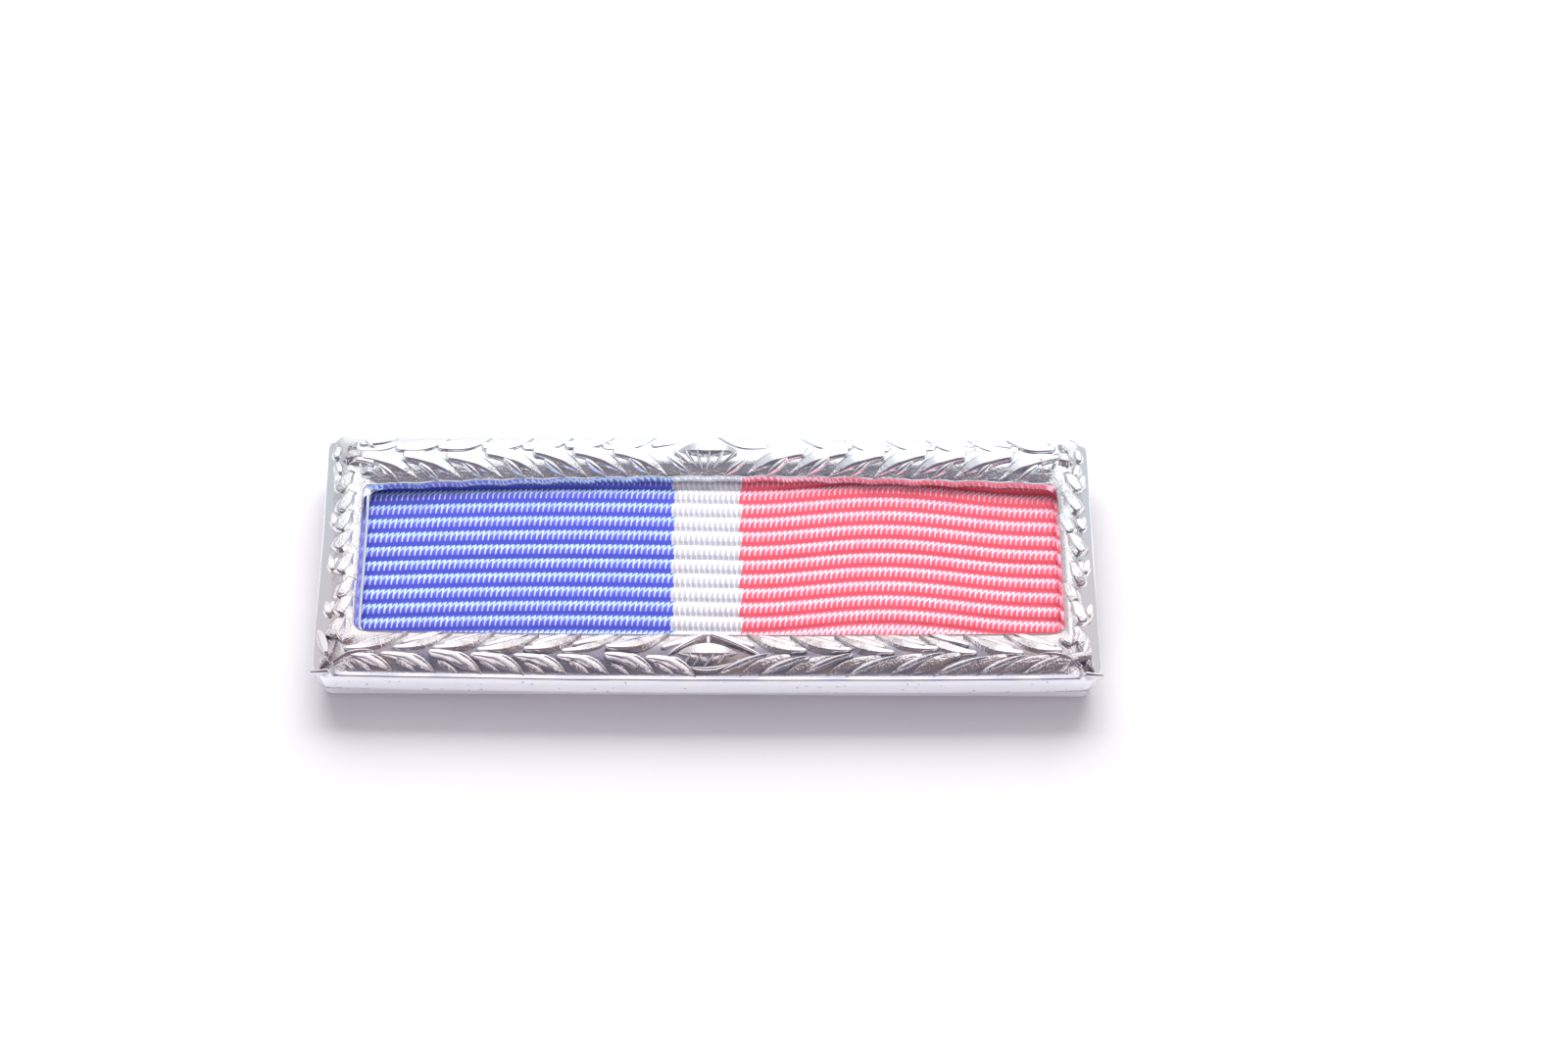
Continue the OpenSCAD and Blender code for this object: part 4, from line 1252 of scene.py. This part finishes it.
def corded_silk(cloth):
    """Corded silk-like weave in three stripes, with painted highlights where a thread turns over its rib, and
    painted shade between the threads and in the hollows between the ribs.
    """
    made, nodes, surface = material("corded_silk")
    times, scaled, minus, smooth, mix = nodes.times, nodes.scaled, nodes.minus, nodes.smooth, nodes.mix
    uv = nodes.first("ShaderNodeUVMap", {"uv_map": "Weave"})
    x, y, _ = nodes.apart(uv)
    pitch = cloth.thread_pitch / MM
    index, b, odd, count, a = threads(nodes, x, y, cloth.rib_pitch / MM, pitch, -0.5 * cloth.thread_lean)
    luck = nodes.luck(nodes.vector(count, index))

    centre = times(minus(nodes.plus(count, 0.5), odd), pitch)
    is_white = nodes.math("GREATER_THAN", centre, -cloth.white_w / 2 / MM)
    is_red = nodes.math("GREATER_THAN", centre, cloth.white_w / 2 / MM)
    colour = mix(is_red, mix(is_white, (*cloth.blue, 1), (*cloth.white, 1)), (*cloth.red, 1))

    # Painted highlights: an arch over the top of each thread and a line down its side, tinted after each
    # stripe.
    over_arch = minus(b, scaled(a, 0.36, 0.52))
    arch = smooth(nodes.absolute(over_arch), 0.08, 0.22, 1.0, 0.0)
    stroke = smooth(nodes.absolute(minus(a, 0.72)), 0.12, 0.36, 1.0, 0.0)
    stroke = times(times(stroke, smooth(b, -0.66, -0.40)), smooth(over_arch, 0.12, 0.30, 1.0, 0.0))
    light = nodes.larger(times(stroke, scaled(luck, 0.35, 0.65)), times(arch, scaled(luck, 0.25, 0.72)))
    glint = mix(is_white, mix(arch, BLUE_GLINT, BLUE_ARCH_GLINT), WHITE_GLINT)
    glint = mix(is_red, glint, RED_GLINT)

    # Painted shade: grey on the body of each white thread, dark between threads and in the hollows between
    # ribs; a little painted highlight on the upper part of each rib.
    body = nodes.absolute(minus(scaled(b, -0.25, 0.05), a))
    lozenge_shade = times(smooth(body, 0.5, 0.95, 1.0, 0.0), smooth(b, 0.25, 0.6, 1.0, 0.0))
    colour = mix(times(times(lozenge_shade, minus(is_white, is_red)), 0.9), colour, WHITE_SHADE)
    colour = mix(smooth(b, -0.3, 0.6, 0.0, 0.12), colour, glint)
    colour = mix(smooth(nodes.absolute(a), 0.5, 1.0, 0.0, 0.12), colour, THREAD_SHADE)
    hollow = times(smooth(nodes.absolute(nodes.plus(b, 0.25)), 0.45, 1.1), minus(0.5, times(is_white, 0.3)))
    colour = mix(hollow, colour, mix(is_red, BLUE_HOLLOW_SHADE, RED_HOLLOW_SHADE))
    colour = mix(light, colour, glint)

    fibre = nodes.noise(nodes.first("ShaderNodeMapping", Vector=uv, Scale=(40.0, 3.0, 1.0)), 1.0, 2.0)
    nodes.wire(surface, Base_Color=colour, Roughness=smooth(luck, 0.0, 1.0, 0.42, 0.6), Sheen_Weight=0.3,
               Sheen_Roughness=0.4, Normal=nodes.bump(0.3, 0.012 * MM, fibre))
    return made


def white_ground():
    """Plain white ground."""
    made, nodes, surface = material("white_ground")
    nodes.wire(surface, Base_Color=GROUND, Roughness=0.7)
    return made


# Stage

OVERHEAD = (0.0, -0.643, 0.766)
FAR_LEFT = (-0.75, 0.5, 0.43)
FAR_RIGHT = (0.75, 0.5, 0.43)
LOW_BACK = (0.08, 0.97, 0.23)
LAMP = (0.35, -0.25, 0.9)
AIM = Vector((0, 0, 1.8 * MM))
KEY_PLACE = (0.01, 0.29, 0.24)
KEY_SIZE = (0.46, 0.26)
FRONT_PLACE = (-0.12, -0.36, 0.12)
FRONT_SIZE = (0.30, 0.12)
SKY_COOL = (1.15, 1.17, 1.24, 1)
SKY_WARM = (1.6, 1.56, 1.58, 1)
SKY_LOW = (1.2, 1.2, 1.22, 1)
LEFT_GREY = (0.57, 0.57, 0.605, 1)
RIGHT_GREY = (0.60, 0.60, 0.635, 1)
ROOM_BLUE = (0.11, 0.11, 0.175, 1)
ROOM_BROWN = (0.31, 0.235, 0.25, 1)
LAMP_GLOW = (0.85, 0.58, 0.33, 1)
BACKDROP = (1.0, 1.0, 1.0, 1)


class RIBBONBAR_OT_stage(bpy.types.Operator):
    """Sets the white ground, the soft lights and the camera."""

    bl_idname = "ribbonbar.stage"
    bl_label = "Stage"

    def execute(self, context):
        stage = settings()[3]
        half = stage.floor_size / 2
        floor = new_object("ground", [(-half, -half, 0), (half, -half, 0), (half, half, 0), (-half, half, 0)],
                           [(0, 1, 2, 3)])
        floor.data.materials.append(white_ground())
        self.light("key", KEY_PLACE, KEY_SIZE, stage.key_power, (1.0, 0.98, 0.985))
        self.light("front", FRONT_PLACE, FRONT_SIZE, stage.fill_power, (0.95, 0.95, 1.0))
        self.surroundings()
        self.camera(stage)
        context.scene.view_settings.view_transform = "Standard"
        return {"FINISHED"}

    def light(self, name, place, size, power, colour):
        """A soft light that looks at the bar and shows in no reflection."""
        data = bpy.data.lights.new(name, "AREA")
        data.shape = "RECTANGLE"
        data.size, data.size_y = size
        data.energy = power
        data.color = colour
        lamp = linked(name, data)
        lamp.location = place
        lamp.rotation_euler = (-Vector(place)).to_track_quat("-Z", "Y").to_euler()
        lamp.visible_camera = False
        lamp.visible_glossy = False

    def surroundings(self):
        """Light all round, but for a dim room behind the camera and a grey patch on each far side."""
        world = bpy.data.worlds.new("tent")
        world.use_nodes = True
        bpy.context.scene.world = world
        nodes = Nodes(world.node_tree)
        smooth, mix, facing = nodes.smooth, nodes.mix, nodes.facing
        way = nodes.node("ShaderNodeTexCoord").outputs["Generated"]
        bright = mix(nodes.noise(way, 2.6, 2.0), SKY_COOL, SKY_WARM)
        bright = mix(smooth(facing(way, LOW_BACK), 0.78, 0.93), bright, SKY_LOW)
        bright = mix(nodes.times(smooth(facing(way, FAR_LEFT), 0.62, 0.92), 0.95), bright, LEFT_GREY)
        bright = mix(nodes.times(smooth(facing(way, FAR_RIGHT), 0.80, 0.94), 0.95), bright, RIGHT_GREY)
        dim = mix(smooth(nodes.noise(way, 5.0, 2.0), 0.4, 0.65), ROOM_BLUE, ROOM_BROWN)
        dim = mix(smooth(facing(way, LAMP), 0.975, 0.995), dim, LAMP_GLOW)
        colour = mix(smooth(facing(way, OVERHEAD), 0.45, 0.70), bright, dim)
        seen = nodes.node("ShaderNodeLightPath").outputs["Is Camera Ray"]
        nodes.wire(world.node_tree.nodes["Background"].inputs, Color=mix(seen, colour, BACKDROP))

    def camera(self, stage):
        """The camera at the photo's angle of view."""
        data = bpy.data.cameras.new("camera")
        data.lens = stage.lens
        data.sensor_width = 36
        data.clip_start = 0.01
        data.clip_end = 10
        data.shift_x = stage.shift_x
        data.shift_y = stage.shift_y
        cam = linked("camera", data)
        back = Vector((0, -math.cos(stage.elevation), math.sin(stage.elevation)))
        cam.location = AIM + back * stage.distance
        cam.rotation_mode = "QUATERNION"
        cam.rotation_quaternion = (-back).to_track_quat("-Z", "Y")
        cam.rotation_mode = "XYZ"
        cam.rotation_euler.rotate_axis("Z", stage.roll)
        bpy.context.scene.camera = cam


class RIBBONBAR_PT_panel(bpy.types.Panel):
    """Lists the steps that build the ribbon bar."""

    bl_idname = "RIBBONBAR_PT_panel"
    bl_label = "Ribbon Bar"
    bl_space_type = "VIEW_3D"
    bl_region_type = "UI"
    bl_category = "Ribbon Bar"

    def draw(self, context):
        for step in STEPS:
            self.layout.operator(step.bl_idname)


GROUPS = {
    "casting_sizes": CastingSizes, "leaf_sizes": LeafSizes, "ribbon_sizes": RibbonSizes,
    "stage_settings": StageSettings,
}
STEPS = (RIBBONBAR_OT_casting, RIBBONBAR_OT_ribbon, RIBBONBAR_OT_back, RIBBONBAR_OT_stage)
CLASSES = (*GROUPS.values(), *STEPS, RIBBONBAR_PT_panel)


def register():
    for cls in CLASSES:
        bpy.utils.register_class(cls)
    for name, cls in GROUPS.items():
        setattr(bpy.types.Scene, name, PointerProperty(type=cls))


def unregister():
    for name in GROUPS:
        delattr(bpy.types.Scene, name)
    for cls in reversed(CLASSES):
        bpy.utils.unregister_class(cls)


def main():
    register()
    bpy.ops.ribbonbar.casting()
    bpy.ops.ribbonbar.ribbon()
    bpy.ops.ribbonbar.back()
    bpy.ops.ribbonbar.stage()


if __name__ == "__main__":
    main()
